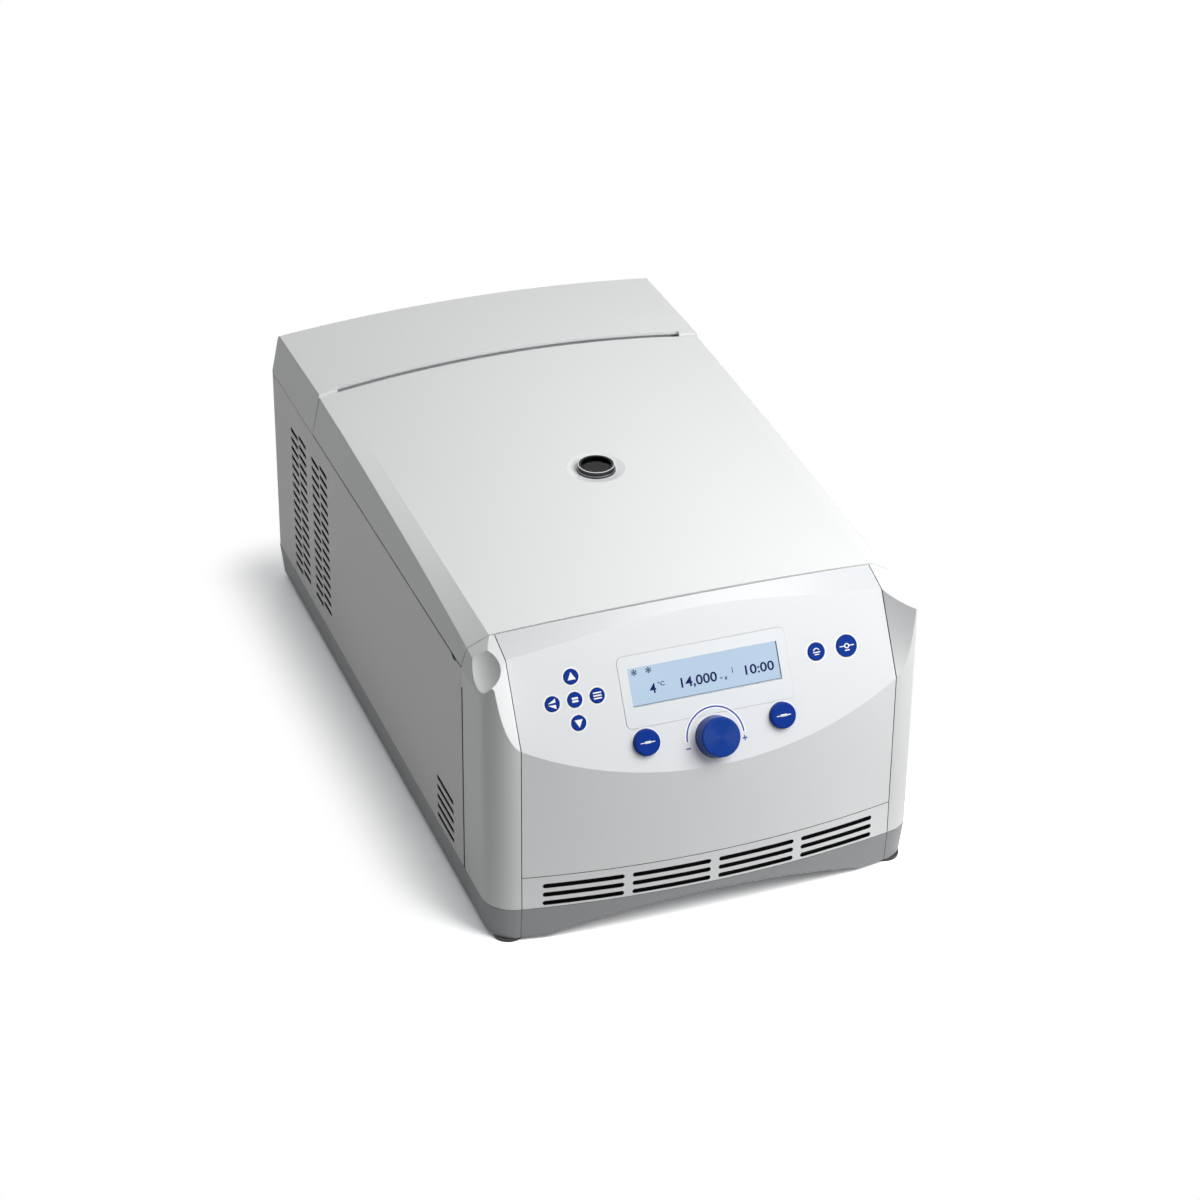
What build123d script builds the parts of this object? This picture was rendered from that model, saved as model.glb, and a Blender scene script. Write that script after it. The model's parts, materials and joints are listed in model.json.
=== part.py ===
from build123d import *
from math import cos, radians, sin, sqrt, tan
import os

# Refrigerated bench centrifuge for small tubes.
# Millimetres. X runs across the front, -Y is the operator's side, +Z is up.
# Sizes are set out from the middle of the housing. The written pieces all move back by
# half of what the knob stands out, so that the origin lies under the middle of the whole outline.

os.makedirs("parts", exist_ok=True)

# Housing, outside
HALF_WIDTH = 190.0
FOOT_HEIGHT = 4.0
BASE_TOP = 34.0
SEAM_GAP = 0.6
WALL = 3.0
SHEET_SIDE = 2.5
REAR_SHEET = 2.0
FLOOR_PLATE = 3.0

# The side seam under the lid and the rear cover climbs towards the front
SEAM_REAR_Z = 220.5
SEAM_FRONT_Z = 232.0

# Crowned top: height of its side edge, how far the edge leans in, and the rise at the middle
TOP_EDGE_Z = 260.5
SIDE_LEAN = 7.6
CROWN = 14.0
REAR_PROUD = 3.0
REAR_DROP = 5.0
REAR_CROWN = 9.5
REAR_EDGE_ROUND = 5.0

# Lid
REAR_COVER_DEPTH = 135.2
LID_WALL = 3.0
LID_FRONT_SETBACK = 76.0
LID_FRONT_BOW = 12.0
LID_FRONT_SWEEP = 7.4
CHAMFER_WIDTH = 22.0
CHAMFER_DROP_FRONT = 18.0
CHAMFER_DROP_MIDDLE = 3.5
CHAMFER_DROP_REAR = -1.0
LID_GAP = 1.4
LID_SIDE_GAP = 1.2
LINER_SHEET = 2.5
LINER_Z = 236.5
LINER_FIT = 0.3
LINER_REAR_ROOM = 9.0
PLUG_ROOM = 6.0
PLUG_ABOVE_DECK = 7.0

# Hinge
HINGE_BELOW_EDGE = -0.5
HINGE_AHEAD = 5.3
HINGE_SLOT = 6.0
HINGE_SLOT_HALF = 165.0
HINGE_X = 80.0
PIN_R = 3.0
PIN_RUNNING = 0.05
KNUCKLE_R = 5.8
KNUCKLE_WIDTH = 9.0
EAR = 5.0
EAR_PLAY = 0.5
EAR_SWEEP_ROOM = 0.8
ARM_LENGTH = 46.0
ARM_SETDOWN = 1.0
FLANGE_HALF = 18.0
FLANGE_SETBACK = 12.0
FLANGE_FIT = 0.3
WALL_FIT = 0.2
WALL_BEHIND_SLOT = 4.5

# Front
PANEL_HALF = 164.0
CORNER_R = 28.0
PANEL_LEAN = 30.3
CREASE_Z = 190.6
FRONT_SEAM_SETBACK = 21.0
BULGE_BOTTOM = 15.0
BULGE_CREASE = 21.0
CREASE_MID_Z = 154.0
SIDE_SEAM_SETBACK = 94.3
RIDGE_SIDE_Z = 257.0
RIDGE_MID_RISE = 10.0
GRILLE_TOP = 66.0
GRILLE_SLOT = 4.4
GRILLE_PITCH = 8.6
GRILLE_ROWS = 3
GRILLE_HALF = 147.0
GRILLE_RIB = 7.0
GRILLE_GROUPS = 4
GRILLE_FIRST_Z = 39.0
SCOOP_R = 31.5
SCOOP_OUT = 8.9
SCOOP_AHEAD = 39.3
SCOOP_Z = 266.0
FACET_SLOPE = 0.3
FACET_TWIST = 0.0145
FACET_INSET = 1.3
ARCH_HALF = 152.0
ARCH_RISE = 21.0
ARCH_DEPTH = 45.0
BASE_TAPER = 3.0

# Feet
FOOT_R = 13.0
FOOT_INSET_X = 20.0
FOOT_INSET_FRONT = 38.0
FOOT_INSET_REAR = 30.0
FOOT_STUD_R = 4.0
FOOT_FIT = 0.2
FOOT_ROUND = 1.0

# Side panels: a shallow finger notch under the lid, two columns of staggered slots near the rear, and
# one small group near the front
EDGE_LEFT = 0.5
NOTCH_R = 9.0
NOTCH_FROM_FRONT = 19.0
NOTCH_RISE = 6.0
NOTCH_DEPTH = 1.0
VENT_SLOT = 4.6
VENT_PITCH = 9.6
VENT_ROWS = 16
VENT_LOW_Z = 47.0
VENT_COLUMN_LENGTH = 24.0
VENT_WEB = 2.6
VENT_COLUMN_GAP = 17.5
VENT_STAGGER = 4.8
VENT_FROM_REAR = 58.5
SMALL_VENT_ROWS = 5
SMALL_VENT_LENGTH = 45.0
SMALL_VENT_FROM_NOSE = 142.0
SMALL_VENT_LOW_Z = 43.0

# Control panel, in the plane of the panel: X across, S up the slope from the crease line
BEZEL_WIDTH = 146.0
BEZEL_HEIGHT = 59.0
BEZEL_LOW_S = 0.6
BEZEL_DEPTH = 1.2
BEZEL_CORNER = 5.0
BEZEL_FIT = 0.2
SCREEN_WIDTH = 130.5
SCREEN_HEIGHT = 32.0
SCREEN_LOW_S = 18.0
BEZEL_RAISE = 0.4
BOARD_SHEET = 1.6
BOARD_BEHIND = 12.0
BOARD_HALF = 140.0
BOARD_LOW_S = -12.0
BOARD_HIGH_S = 62.0
BOARD_TONGUE_HALF = 75.0
BOARD_TONGUE_S = -27.0
POST_R = 3.0
POST_X = 134.0
POST_LOW_S = -7.0
POST_HIGH_S = 56.0
KEY_PLAY = 0.3
KEY_TRAVEL = 0.8
KEY_RAISE = 0.9
KEY_ROUND = 0.4
KEY_SKIRT = 1.2
KEY_SKIRT_GAP = 0.4
KEY_PLUNGER_R = 2.0
KEY_STOP_GAP = 0.1
KEY_SWITCH = 6.0
KEY_SWITCH_HEIGHT = 3.0
NAV_KEY_R = 6.2
NAV_X = -112.6
NAV_S = 33.0
NAV_STEP_X = 19.2
NAV_STEP_S = 18.9
SMALL_KEY_R = 7.4
SMALL_KEY_X = 98.0
LARGE_KEY_R = 9.1
LARGE_KEY_X = 125.0
RIGHT_KEYS_S = 34.0
BUTTON_R = 10.9
BUTTON_RAISE = 5.0
BUTTON_ROUND = 1.2
BUTTON_X = 59.4
BUTTON_S = -11.8
BUTTON_TRAVEL = 1.2
KNOB_R = 17.7
KNOB_HEIGHT = 14.0
KNOB_DRAFT = 1.2
KNOB_ROUND = 1.5
KNOB_S = -18.3
KNOB_STEM_R = 4.0
KNOB_STEM_PLAY = 0.6
KNOB_CLEAR = 0.6
ENCODER_SIZE = 14.0
ENCODER_HEIGHT = 7.0
ENCODER_DEPTH = 5.0
ENCODER_RUNNING = 0.05

# Chamber
LATCH_TO_FOAM = 50.2
FOAM_TO_LID_REAR = 77.6
BOWL_R = 122.0
BOWL_SHEET = 1.2
BOWL_DEPTH = 106.0
BOWL_CORNER = 16.0
BOWL_FLANGE = 6.0
BOWL_SHAFT_HOLE = 22.0
DECK_TOP = 219.0
DECK_SHEET = 4.0
DECK_EDGE_PLAY = 0.3
GASKET_R = 131.5
GASKET_WIDTH = 7.0
GASKET_HEIGHT = 10.0
GASKET_FIT = 0.3
COIL_TUBE_R = 3.0
COIL_TURNS = 6
COIL_PITCH = 13.0
COIL_PLAY = 0.3
COIL_LOW_ABOVE_BOWL = 14.0
FOAM_WALL = 24.0
FOAM_BELOW = 16.0
FOAM_SHAFT_HOLE = 30.0

# Rotor and drive
ROTOR_CLEAR_BELOW = 28.0
ROTOR_HEIGHT = 50.0
ROTOR_EDGE_R = 95.0
ROTOR_EDGE_LOW = 12.0
ROTOR_EDGE_HIGH = 22.0
ROTOR_BASE_R = 70.0
ROTOR_FLOOR = 32.0
ROTOR_FLOOR_R = 46.0
ROTOR_RIM = 6.0
ROTOR_HUB_R = 20.0
ROTOR_HUB_TOP = 40.0
ROTOR_PLACES = 12
TUBE_R = 5.7
TUBE_DEPTH = 36.0
TUBE_TILT = 45.0
SHAFT_R = 7.0
SHAFT_RUNNING = 0.05
STUD_R = 4.0
STUD_LENGTH = 5.0
SEAL_PLAY = 0.6
SEAL_HEIGHT = 9.0
NUT_R = 13.0
NUT_HEIGHT = 9.0
NUT_KEY = 6.0
NUT_KEY_DEPTH = 3.5
BEARING_R = 17.5
BEARING_WIDTH = 10.0
BEARING_BOSS = 3.5
MOTOR_R = 48.0
MOTOR_LOW = 20.0
MOTOR_HEIGHT = 60.0
MOTOR_WALL = 3.0
STATOR_THICK = 12.0
STATOR_HEIGHT = 28.0
AIR_GAP = 1.0
MOTOR_FLANGE_R = 66.0
MOTOR_FLANGE = 5.0
MOTOR_FLANGE_BELOW_TOP = 5.0
MOUNT_R = 8.0
MOUNT_HEIGHT = 8.0
MOUNT_CIRCLE_R = 57.0
MOUNT_BOLT_R = 2.5
MOTOR_PLATE = 4.0
MOTOR_PLATE_HALF = 78.0
MOTOR_PLATE_PLAY = 2.0
MOTOR_LEG = 10.0

# Sight glass in the middle of the lid, over the rotor
DISH_R = 26.0
DISH_DEPTH = 2.0
DISH_FLAT = 1.3
RING_FOOT_R = 17.2
RING_TOP_R = 15.7
RING_BORE_R = 13.2
RING_HEIGHT = 5.6
RING_TUBE_R = 14.6
GLASS_DROP = 2.6
GLASS_SHEET = 3.0
GLASS_FIT = 0.1

# Latch: two bolts on one bar slide sideways into the lid's strikers
LATCH_X = 70.0
LATCH_FROM_NOSE = 98.0
STRIKER_WIDTH = 15.0
STRIKER_SHEET = 3.0
STRIKER_REACH = 38.0
STRIKER_ROOM = 4.5
BOLT_R = 4.0
BOLT_ABOVE_TIP = 8.5
BOLT_WINDOW_PLAY = 1.2
BOLT_TRAVEL = 12.0
BOLT_TO_STRIKER = 2.0
BOLT_END_ROOM = 2.0
BOLT_GUIDE = 10.0
BOLT_GUIDE_WALL = 3.0
BOLT_GUIDE_SETBACK = 6.0
BOLT_RUNNING = 0.05
LATCH_BAR = 3.0
LATCH_BAR_HEIGHT = 8.0
LATCH_BAR_BELOW = 8.0
SOLENOID_SIZE = 22.0
SOLENOID_LENGTH = 34.0
SOLENOID_X = -3.0
PLUNGER_R = 3.0

# Cooling
COMPRESSOR_R = 60.0
COMPRESSOR_HEIGHT = 150.0
COMPRESSOR_ROUND = 22.0
COMPRESSOR_X = 78.0
COMPRESSOR_FROM_REAR = 98.0
COMPRESSOR_SEAM = 2.0
COMPRESSOR_FOOT_R = 8.0
COMPRESSOR_FOOT_HEIGHT = 8.0
COMPRESSOR_FOOT_SPREAD = 56.0
COMPRESSOR_SHELF = 3.0
TERMINAL_REACH = 12.0
TERMINAL_HALF = 15.0
TERMINAL_LOW = 8.0
TERMINAL_HIGH = 40.0
CONDENSER_FROM_REAR = 116.0
CONDENSER_LENGTH = 124.0
CONDENSER_THICK = 34.0
CONDENSER_ABOVE_PLATE = 35.0
CONDENSER_FROM_SIDE = 9.0
CONDENSER_FIN_PITCH = 6.0
CONDENSER_FIN = 1.0
CONDENSER_TUBE_R = 4.0
CONDENSER_ROWS = 5
CONDENSER_ROW_PITCH = 30.0
FAN_R = 54.0
FAN_CASE = 126.0
FAN_CASE_DEPTH = 26.0
FAN_HUB_R = 18.0
FAN_HUB = 10.0
FAN_BLADES = 7
FAN_BLADE = 2.0
FAN_BLADE_WIDTH = 24.0
FAN_BLADE_PITCH = 35.0
FAN_BLADE_SETBACK = 4.0
FAN_TIP_PLAY = 2.0
FAN_PLAY = 1.0
FAN_SHAFT_R = 3.0
FAN_MOTOR_R = 16.0
FAN_STRUT = 5.0
PIPE_R = 3.2
PIPE_BEND = 10.0
PIPE_LEAD = 26.0
PIPE_COIL_GAP = 0.1
SUCTION_SHARE = 0.7
PIPE_SIDE_X = 164.5
PIPE_HIGH_Z = 200.0
DRIER_R = 11.0
DRIER_LENGTH = 70.0
DRIER_X = -60.0
DRIER_AHEAD = 20.0
DRIER_END = 8.0
DRIER_ROUND = 4.0
DRIER_NECK = 1.0

# Rear panel, inlet and switch
REAR_RECESS = 3.0
REAR_VENT_ROWS = 9
REAR_VENT_LENGTH = 90.0
REAR_VENT_PITCH = 10.0
REAR_VENT_LOW_Z = 100.0
REAR_VENT_X = 110.0
REAR_SCREW_INSET = 9.0
INLET_FROM_SIDE = 60.0
INLET_Z = 62.0
INLET_WIDTH = 27.0
INLET_HEIGHT = 20.0
INLET_DEPTH = 24.0
INLET_RIM = 4.0
INLET_RIM_THICK = 2.0
INLET_WALL = 2.0
INLET_FIT = 0.2
INLET_PIN_WIDTH = 2.0
INLET_PIN_HEIGHT = 4.0
INLET_PIN_PITCH = 7.0
INLET_PIN_RECESS = 7.0
SWITCH_Z = 104.0
SWITCH_WIDTH = 19.0
SWITCH_HEIGHT = 13.0
SWITCH_FRAME = 2.5
SWITCH_DEPTH = 14.0
SWITCH_PLAY = 1.0
SWITCH_PROUD = 2.0
SWITCH_PIVOT_DEEP = 2.0
SWITCH_PIVOT_R = 1.5
SWITCH_RUNNING = 0.05

# Power supply
SUPPLY_FROM_NOSE = 108.0
SUPPLY_WIDTH = 150.0
SUPPLY_DEPTH = 60.0
SUPPLY_HEIGHT = 56.0
SUPPLY_FEET = 5.0
SUPPLY_SLOTS = 12
SUPPLY_SLOT_PITCH = 9.0
SUPPLY_SLOT_DEPTH = 2.0

# Pillars that carry the deck
PILLAR = 14.0
PILLAR_FROM_SIDE = 14.0
PILLAR_FROM_NOSE = 113.0
PILLAR_FROM_REAR = 208.0

SCREW_HEAD_R = 3.5
SCREW_HEAD = 2.0
SCREW_R = 1.8
SCREW_LENGTH = 7.0
SCREW_FIT = 0.1

# Worked out from the sizes above. The latch, the chamber and the rear compartment set the depth.
FOAM_R = BOWL_R + BOWL_SHEET + COIL_PLAY + FOAM_WALL
LID_SPAN = LATCH_TO_FOAM + 2 * FOAM_R + FOAM_TO_LID_REAR
HALF_DEPTH = (LATCH_FROM_NOSE + LID_SPAN + REAR_COVER_DEPTH) / 2
NOSE_Y = -HALF_DEPTH
REAR_Y = HALF_DEPTH
FRONT_SEAM_Y = NOSE_Y + FRONT_SEAM_SETBACK
SIDE_SEAM_Y = NOSE_Y + SIDE_SEAM_SETBACK
LID_REAR_Y = REAR_Y - REAR_COVER_DEPTH
LID_NOSE_Y = NOSE_Y + LID_FRONT_SETBACK
HINGE_Y = LID_REAR_Y - HINGE_AHEAD
HINGE_Z = TOP_EDGE_Z - HINGE_BELOW_EDGE
CHAMBER_Y = NOSE_Y + LATCH_FROM_NOSE + LATCH_TO_FOAM + FOAM_R
EDGE_HALF = HALF_WIDTH - SIDE_LEAN
LID_CORNER_HALF = HALF_WIDTH - CHAMFER_WIDTH
BASE_LOW = FOOT_HEIGHT
PLATE_TOP = BASE_LOW + FLOOR_PLATE
DECK_LOW = DECK_TOP - DECK_SHEET
BOWL_LOW = DECK_TOP - BOWL_DEPTH
FOAM_LOW = BOWL_LOW - BOWL_SHEET - FOAM_BELOW
ROTOR_LOW = BOWL_LOW + ROTOR_CLEAR_BELOW
MOTOR_TOP = MOTOR_LOW + MOTOR_HEIGHT
MOTOR_FLANGE_LOW = MOTOR_TOP - MOTOR_FLANGE_BELOW_TOP - MOTOR_FLANGE
MOTOR_PLATE_LOW = MOTOR_FLANGE_LOW - MOUNT_HEIGHT - MOTOR_PLATE
REAR_FACE = REAR_Y - REAR_RECESS
INLET_X = HALF_WIDTH - INLET_FROM_SIDE
STRIKER_TIP = LINER_Z - STRIKER_REACH
BOLT_Z = STRIKER_TIP + BOLT_ABOVE_TIP
LATCH_Y = NOSE_Y + LATCH_FROM_NOSE
BOLT_LENGTH = BOLT_GUIDE_SETBACK + BOLT_GUIDE + BOLT_TRAVEL + BOLT_END_ROOM + LATCH_BAR
COIL_R = BOWL_R + BOWL_SHEET + COIL_PLAY + COIL_TUBE_R
COIL_Z = BOWL_LOW + COIL_LOW_ABOVE_BOWL
COIL_END_Z = COIL_Z + COIL_PITCH * COIL_TURNS
COMPRESSOR_Y = REAR_Y - COMPRESSOR_FROM_REAR
COMPRESSOR_LOW = PLATE_TOP + COMPRESSOR_FOOT_HEIGHT + COMPRESSOR_SHELF
CONDENSER_Y = REAR_Y - CONDENSER_FROM_REAR
CONDENSER_X = -HALF_WIDTH + CONDENSER_FROM_SIDE + CONDENSER_THICK / 2
CONDENSER_LOW = PLATE_TOP + CONDENSER_ABOVE_PLATE
CONDENSER_HEIGHT = CONDENSER_ROWS * CONDENSER_ROW_PITCH
FAN_Z = CONDENSER_LOW + CONDENSER_HEIGHT / 2
FAN_FRONT_X = CONDENSER_X + CONDENSER_THICK / 2
DRIER_Y = CONDENSER_Y - CONDENSER_LENGTH / 2 - DRIER_AHEAD
SUPPLY_Y = NOSE_Y + SUPPLY_FROM_NOSE
BOARD_Z = -WALL - BOARD_BEHIND
SWITCH_TOP_Z = BOARD_Z + KEY_SWITCH_HEIGHT
WALL_Y = HINGE_Y + HINGE_AHEAD + HINGE_SLOT + WALL_BEHIND_SLOT
FAR = 600.0
CUT_HEIGHT = 120.0
CUT_MARGIN = 8.0


def box(x0, x1, y0, y1, z0, z1):
    """Block between two corners."""
    return Pos((x0 + x1) / 2, (y0 + y1) / 2, (z0 + z1) / 2) * Box(x1 - x0, y1 - y0, z1 - z0)


def rod(r, z0, z1, x=0.0, y=0.0):
    """Upright cylinder."""
    return Pos(x, y, (z0 + z1) / 2) * Cylinder(r, z1 - z0)


def pipe(r_out, r_in, z0, z1, x=0.0, y=0.0):
    """Upright tube."""
    return rod(r_out, z0, z1, x, y) - rod(r_in, z0 - 1, z1 + 1, x, y)


def rod_x(r, x0, x1, y, z):
    """Cylinder along X."""
    return Pos((x0 + x1) / 2, y, z) * Rot(0, 90, 0) * Cylinder(r, x1 - x0)


def rod_y(r, y0, y1, x, z):
    """Cylinder along Y."""
    return Pos(x, (y0 + y1) / 2, z) * Rot(90, 0, 0) * Cylinder(r, y1 - y0)


def save(name, shift, pieces):
    """Write one node, a group of separate solids or a single one."""
    solids = [shift * s for piece in pieces for s in piece.solids()]
    export_step(solids[0] if len(solids) == 1 else Compound(children=solids), f"parts/{name}.step")


def mirror_x(shape):
    """The same piece for the other side."""
    return mirror(shape, about=Plane.YZ)


def seam_z(y):
    """Height of the side seam at y."""
    share = (y - SIDE_SEAM_Y) / (REAR_Y - SIDE_SEAM_Y)
    return SEAM_FRONT_Z + share * (SEAM_REAR_Z - SEAM_FRONT_Z)


def crown_z(x, edge=TOP_EDGE_Z, crown=CROWN):
    """Height of the crowned top at x."""
    return edge + crown * (1 - (x / EDGE_HALF) ** 2)


def top_section(y, edge_z, crown, inset):
    """Section across the crowned top at y: upright walls, leaning sides and an arc."""
    half = HALF_WIDTH - inset
    edge = EDGE_HALF - inset
    top = edge_z - inset
    with BuildSketch(Plane.XZ.offset(-y)) as section:
        with BuildLine():
            Polyline((-edge, top), (-half, seam_z(y)), (-half, 0), (half, 0), (half, seam_z(y)), (edge, top))
            ThreePointArc((edge, top), (0, top + crown), (-edge, top))
        make_face()
    return section.sketch


def top_block(y_front, y_rear, inset=0.0, proud=0.0, drop=0.0, crown_rear=CROWN):
    """Solid under the crowned top between two stations, down to the bench."""
    front = top_section(y_front, TOP_EDGE_Z + proud, CROWN, inset)
    rear = top_section(y_rear, TOP_EDGE_Z + proud - drop, crown_rear, inset)
    return loft([front, rear], ruled=True)


def under_seam(rise):
    """Everything under the side seam, or under a plane that much above it."""
    y0, y1 = NOSE_Y - 50, REAR_Y + 50
    with BuildSketch(Plane.YZ.offset(-FAR)) as side:
        with BuildLine():
            Polyline((y0, -10), (y1, -10), (y1, seam_z(y1) + rise), (y0, seam_z(y0) + rise), (y0, -10))
        make_face()
    return extrude(side.sketch, 2 * FAR)


def lid_plan(grow):
    """Plan of the lid, grown outwards past its front edge by a gap."""
    side = HALF_WIDTH + 10
    sweep = LID_FRONT_SWEEP / CHAMFER_WIDTH * (side - LID_CORNER_HALF)
    corner_y = LID_NOSE_Y + LID_FRONT_BOW - grow
    with BuildSketch() as plan:
        with BuildLine():
            ThreePointArc((-LID_CORNER_HALF, corner_y), (0, LID_NOSE_Y - grow), (LID_CORNER_HALF, corner_y))
            Polyline((LID_CORNER_HALF, corner_y), (side, corner_y + sweep), (side, LID_REAR_Y),
                     (-side, LID_REAR_Y), (-side, corner_y + sweep), (-LID_CORNER_HALF, corner_y))
        make_face()
    return plan.sketch


def lid_prism(grow, z0, z1):
    """The lid's plan as a prism."""
    return Pos(0, 0, z0) * extrude(lid_plan(grow), z1 - z0)


def chamfer_section(y, drop, inset):
    """What the side chamfer takes off at y."""
    inner = LID_CORNER_HALF - inset
    outer = HALF_WIDTH + 12
    start = crown_z(LID_CORNER_HALF) - inset
    slope = (crown_z(LID_CORNER_HALF) - crown_z(HALF_WIDTH) + drop) / CHAMFER_WIDTH
    with BuildSketch(Plane.XZ.offset(-y)) as section:
        with BuildLine():
            Polyline((inner, start), (outer, start - slope * (outer - inner)), (outer, FAR), (inner, FAR),
                     (inner, start))
        make_face()
    return section.sketch


def chamfer_cutter(inset=0.0):
    """Both side chamfers, which fade out towards the hinge."""
    stations = ((NOSE_Y, CHAMFER_DROP_FRONT), ((LID_NOSE_Y + LID_REAR_Y) / 2, CHAMFER_DROP_MIDDLE),
                (LID_REAR_Y, CHAMFER_DROP_REAR))
    right = loft([chamfer_section(y, drop, inset) for y, drop in stations])
    return right + mirror_x(right)


# Control panel plane, S up the slope
LEAN = radians(PANEL_LEAN)
PANEL = Plane(origin=(0, FRONT_SEAM_Y, CREASE_Z), x_dir=(1, 0, 0), z_dir=(0, -cos(LEAN), sin(LEAN)))


def on_panel(x, s, height=0.0):
    """Place on the control panel, height off its surface."""
    return Location(PANEL.offset(height)) * Pos(x, s, 0)


def panel_y(z):
    """Y of the leaning panel surface at height z."""
    return FRONT_SEAM_Y + (z - CREASE_Z) * tan(LEAN)


def circles_meet(c0, r0, c1, r1):
    """Where two circles meet, the point nearer the operator."""
    gap = c1 - c0
    along = (r0 ** 2 - r1 ** 2 + gap.length ** 2) / (2 * gap.length)
    across = sqrt(r0 ** 2 - along ** 2)
    unit = gap.normalized()
    points = [c0 + unit * along + Vector(-unit.Y, unit.X) * k for k in (across, -across)]
    return min(points, key=lambda p: p.Y)


def front_outline(bulge, inset, back=REAR_Y):
    """Plan of the front: straight sides, round corners, and a nose that bulges forwards."""
    back -= inset
    half = HALF_WIDTH - inset
    side_y = FRONT_SEAM_Y + sqrt(CORNER_R ** 2 - (PANEL_HALF - HALF_WIDTH + CORNER_R) ** 2)
    corner = Vector(HALF_WIDTH - CORNER_R, side_y)
    nose_r = (PANEL_HALF ** 2 + bulge ** 2) / (2 * bulge)
    nose = Vector(0, FRONT_SEAM_Y - bulge + nose_r)
    seam = circles_meet(corner, CORNER_R - inset, nose, nose_r - inset)
    turn = corner + Vector(CORNER_R - inset, 0).rotate(Axis.Z, -45)
    with BuildSketch() as plan:
        with BuildLine():
            ThreePointArc((-seam.X, seam.Y), (0, nose.Y - nose_r + inset), (seam.X, seam.Y))
            ThreePointArc((seam.X, seam.Y), (turn.X, turn.Y), (half, side_y))
            Polyline((half, side_y), (half, back), (-half, back), (-half, side_y))
            ThreePointArc((-half, side_y), (-turn.X, turn.Y), (-seam.X, seam.Y))
        make_face()
    return plan.sketch


def bulge_at(z):
    """The nose bulges more at the crease than at the base."""
    share = (z - BASE_TOP) / (CREASE_MID_Z - BASE_TOP)
    return BULGE_BOTTOM + share * (BULGE_CREASE - BULGE_BOTTOM)


def front_column(z0, z1, inset=0.0):
    """Everything inside the front outline between two heights."""
    back = SIDE_SEAM_Y + 60
    low = Pos(0, 0, z0) * front_outline(bulge_at(z0), inset, back)
    high = Pos(0, 0, z1) * front_outline(bulge_at(z1), inset, back)
    return loft([low, high], ruled=True)


def shoulder_section(x, inset):
    """What lies above the shoulder between the lid's edge and the panel's top ridge, at x."""
    share = 1 - (x / PANEL_HALF) ** 2
    lid_y = LID_NOSE_Y + LID_FRONT_BOW * (1 - share)
    lid_z = crown_z(x)
    ridge_z = RIDGE_SIDE_Z + RIDGE_MID_RISE * share
    ridge_y = panel_y(ridge_z)
    slope = (lid_z - ridge_z) / (lid_y - ridge_y)
    reach_back = 16.0
    reach_front = 60.0
    with BuildSketch(Plane.YZ.offset(x)) as section:
        with BuildLine():
            Polyline((lid_y + reach_back, lid_z + reach_back * slope - inset),
                     (ridge_y - reach_front, ridge_z - reach_front * slope - inset),
                     (ridge_y - reach_front, FAR), (lid_y + reach_back, FAR),
                     (lid_y + reach_back, lid_z + reach_back * slope - inset))
        make_face()
    return section.sketch


def facet_section(s, inset):
    """What the corner's inner facet takes off at s up the panel: flush at the seam, proud beyond it."""
    reach = HALF_WIDTH - PANEL_HALF + CUT_MARGIN
    slope = FACET_SLOPE + FACET_TWIST * s
    downhill = (0, -sin(LEAN), -cos(LEAN))
    plane = Plane(origin=PANEL.from_local_coords((0, s, 0)), x_dir=(1, 0, 0), z_dir=downhill)
    low = -FACET_INSET * inset
    far = PANEL_HALF + reach
    with BuildSketch(plane) as section:
        with BuildLine():
            Polyline((PANEL_HALF, low), (far, low + reach * slope), (far, CUT_HEIGHT),
                     (PANEL_HALF, CUT_HEIGHT), (PANEL_HALF, low))
        make_face()
    return section.sketch


def panel_cutter(inset):
    """What lies ahead of the control panel and of the facets that turn in towards it."""
    middle = box(-PANEL_HALF, PANEL_HALF, -CUT_HEIGHT, CUT_HEIGHT, -inset, CUT_HEIGHT)
    right = loft([facet_section(s, inset) for s in (0, CUT_HEIGHT)], ruled=True)
    return on_panel(0, 0) * middle + right + mirror_x(right)


def front_block(inset=0.0, low=BASE_TOP + SEAM_GAP):
    """The whole front of the housing as one block, cut back by an inset."""
    top = TOP_EDGE_Z + CROWN + 5
    block = front_column(low, top, inset) - panel_cutter(inset)
    block -= loft([shoulder_section(x, inset) for x in (-HALF_WIDTH - 5, 0, HALF_WIDTH + 5)])
    block &= top_block(NOSE_Y - 10, SIDE_SEAM_Y + 60, inset)
    return block - chamfer_cutter(inset)


def scoops(grow=0.0):
    """Finger scoops in both front corners, under the lid's corners."""
    scoop = Pos(HALF_WIDTH + SCOOP_OUT, SIDE_SEAM_Y - SCOOP_AHEAD, SCOOP_Z) * Sphere(SCOOP_R + grow)
    return scoop + mirror_x(scoop)


def front_shell():
    """Hollow front with a back wall that stands on the deck behind the lid's seam."""
    outer = front_block() - scoops()
    inner = front_block(WALL, 0) - scoops(WALL) - lid_prism(LID_GAP + WALL, DECK_TOP, FAR)
    shell = outer - inner - lid_prism(LID_GAP, 0, FAR)
    shell -= box(-FAR, FAR, SIDE_SEAM_Y - SEAM_GAP, FAR, 0, FAR)
    return shell - lid_prism(LID_GAP + WALL, 0, DECK_LOW - DECK_EDGE_PLAY)


def arch_prism(grow, depth):
    """The air gap under the middle of the front."""
    with BuildSketch(Plane.XZ.offset(-NOSE_Y + 5)) as shape:
        with BuildLine():
            ThreePointArc((-ARCH_HALF - grow, 0), (0, BASE_LOW + ARCH_RISE + grow), (ARCH_HALF + grow, 0))
            Line((ARCH_HALF + grow, 0), (-ARCH_HALF - grow, 0))
        make_face()
    return extrude(shape.sketch, -(depth + 5))


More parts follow.
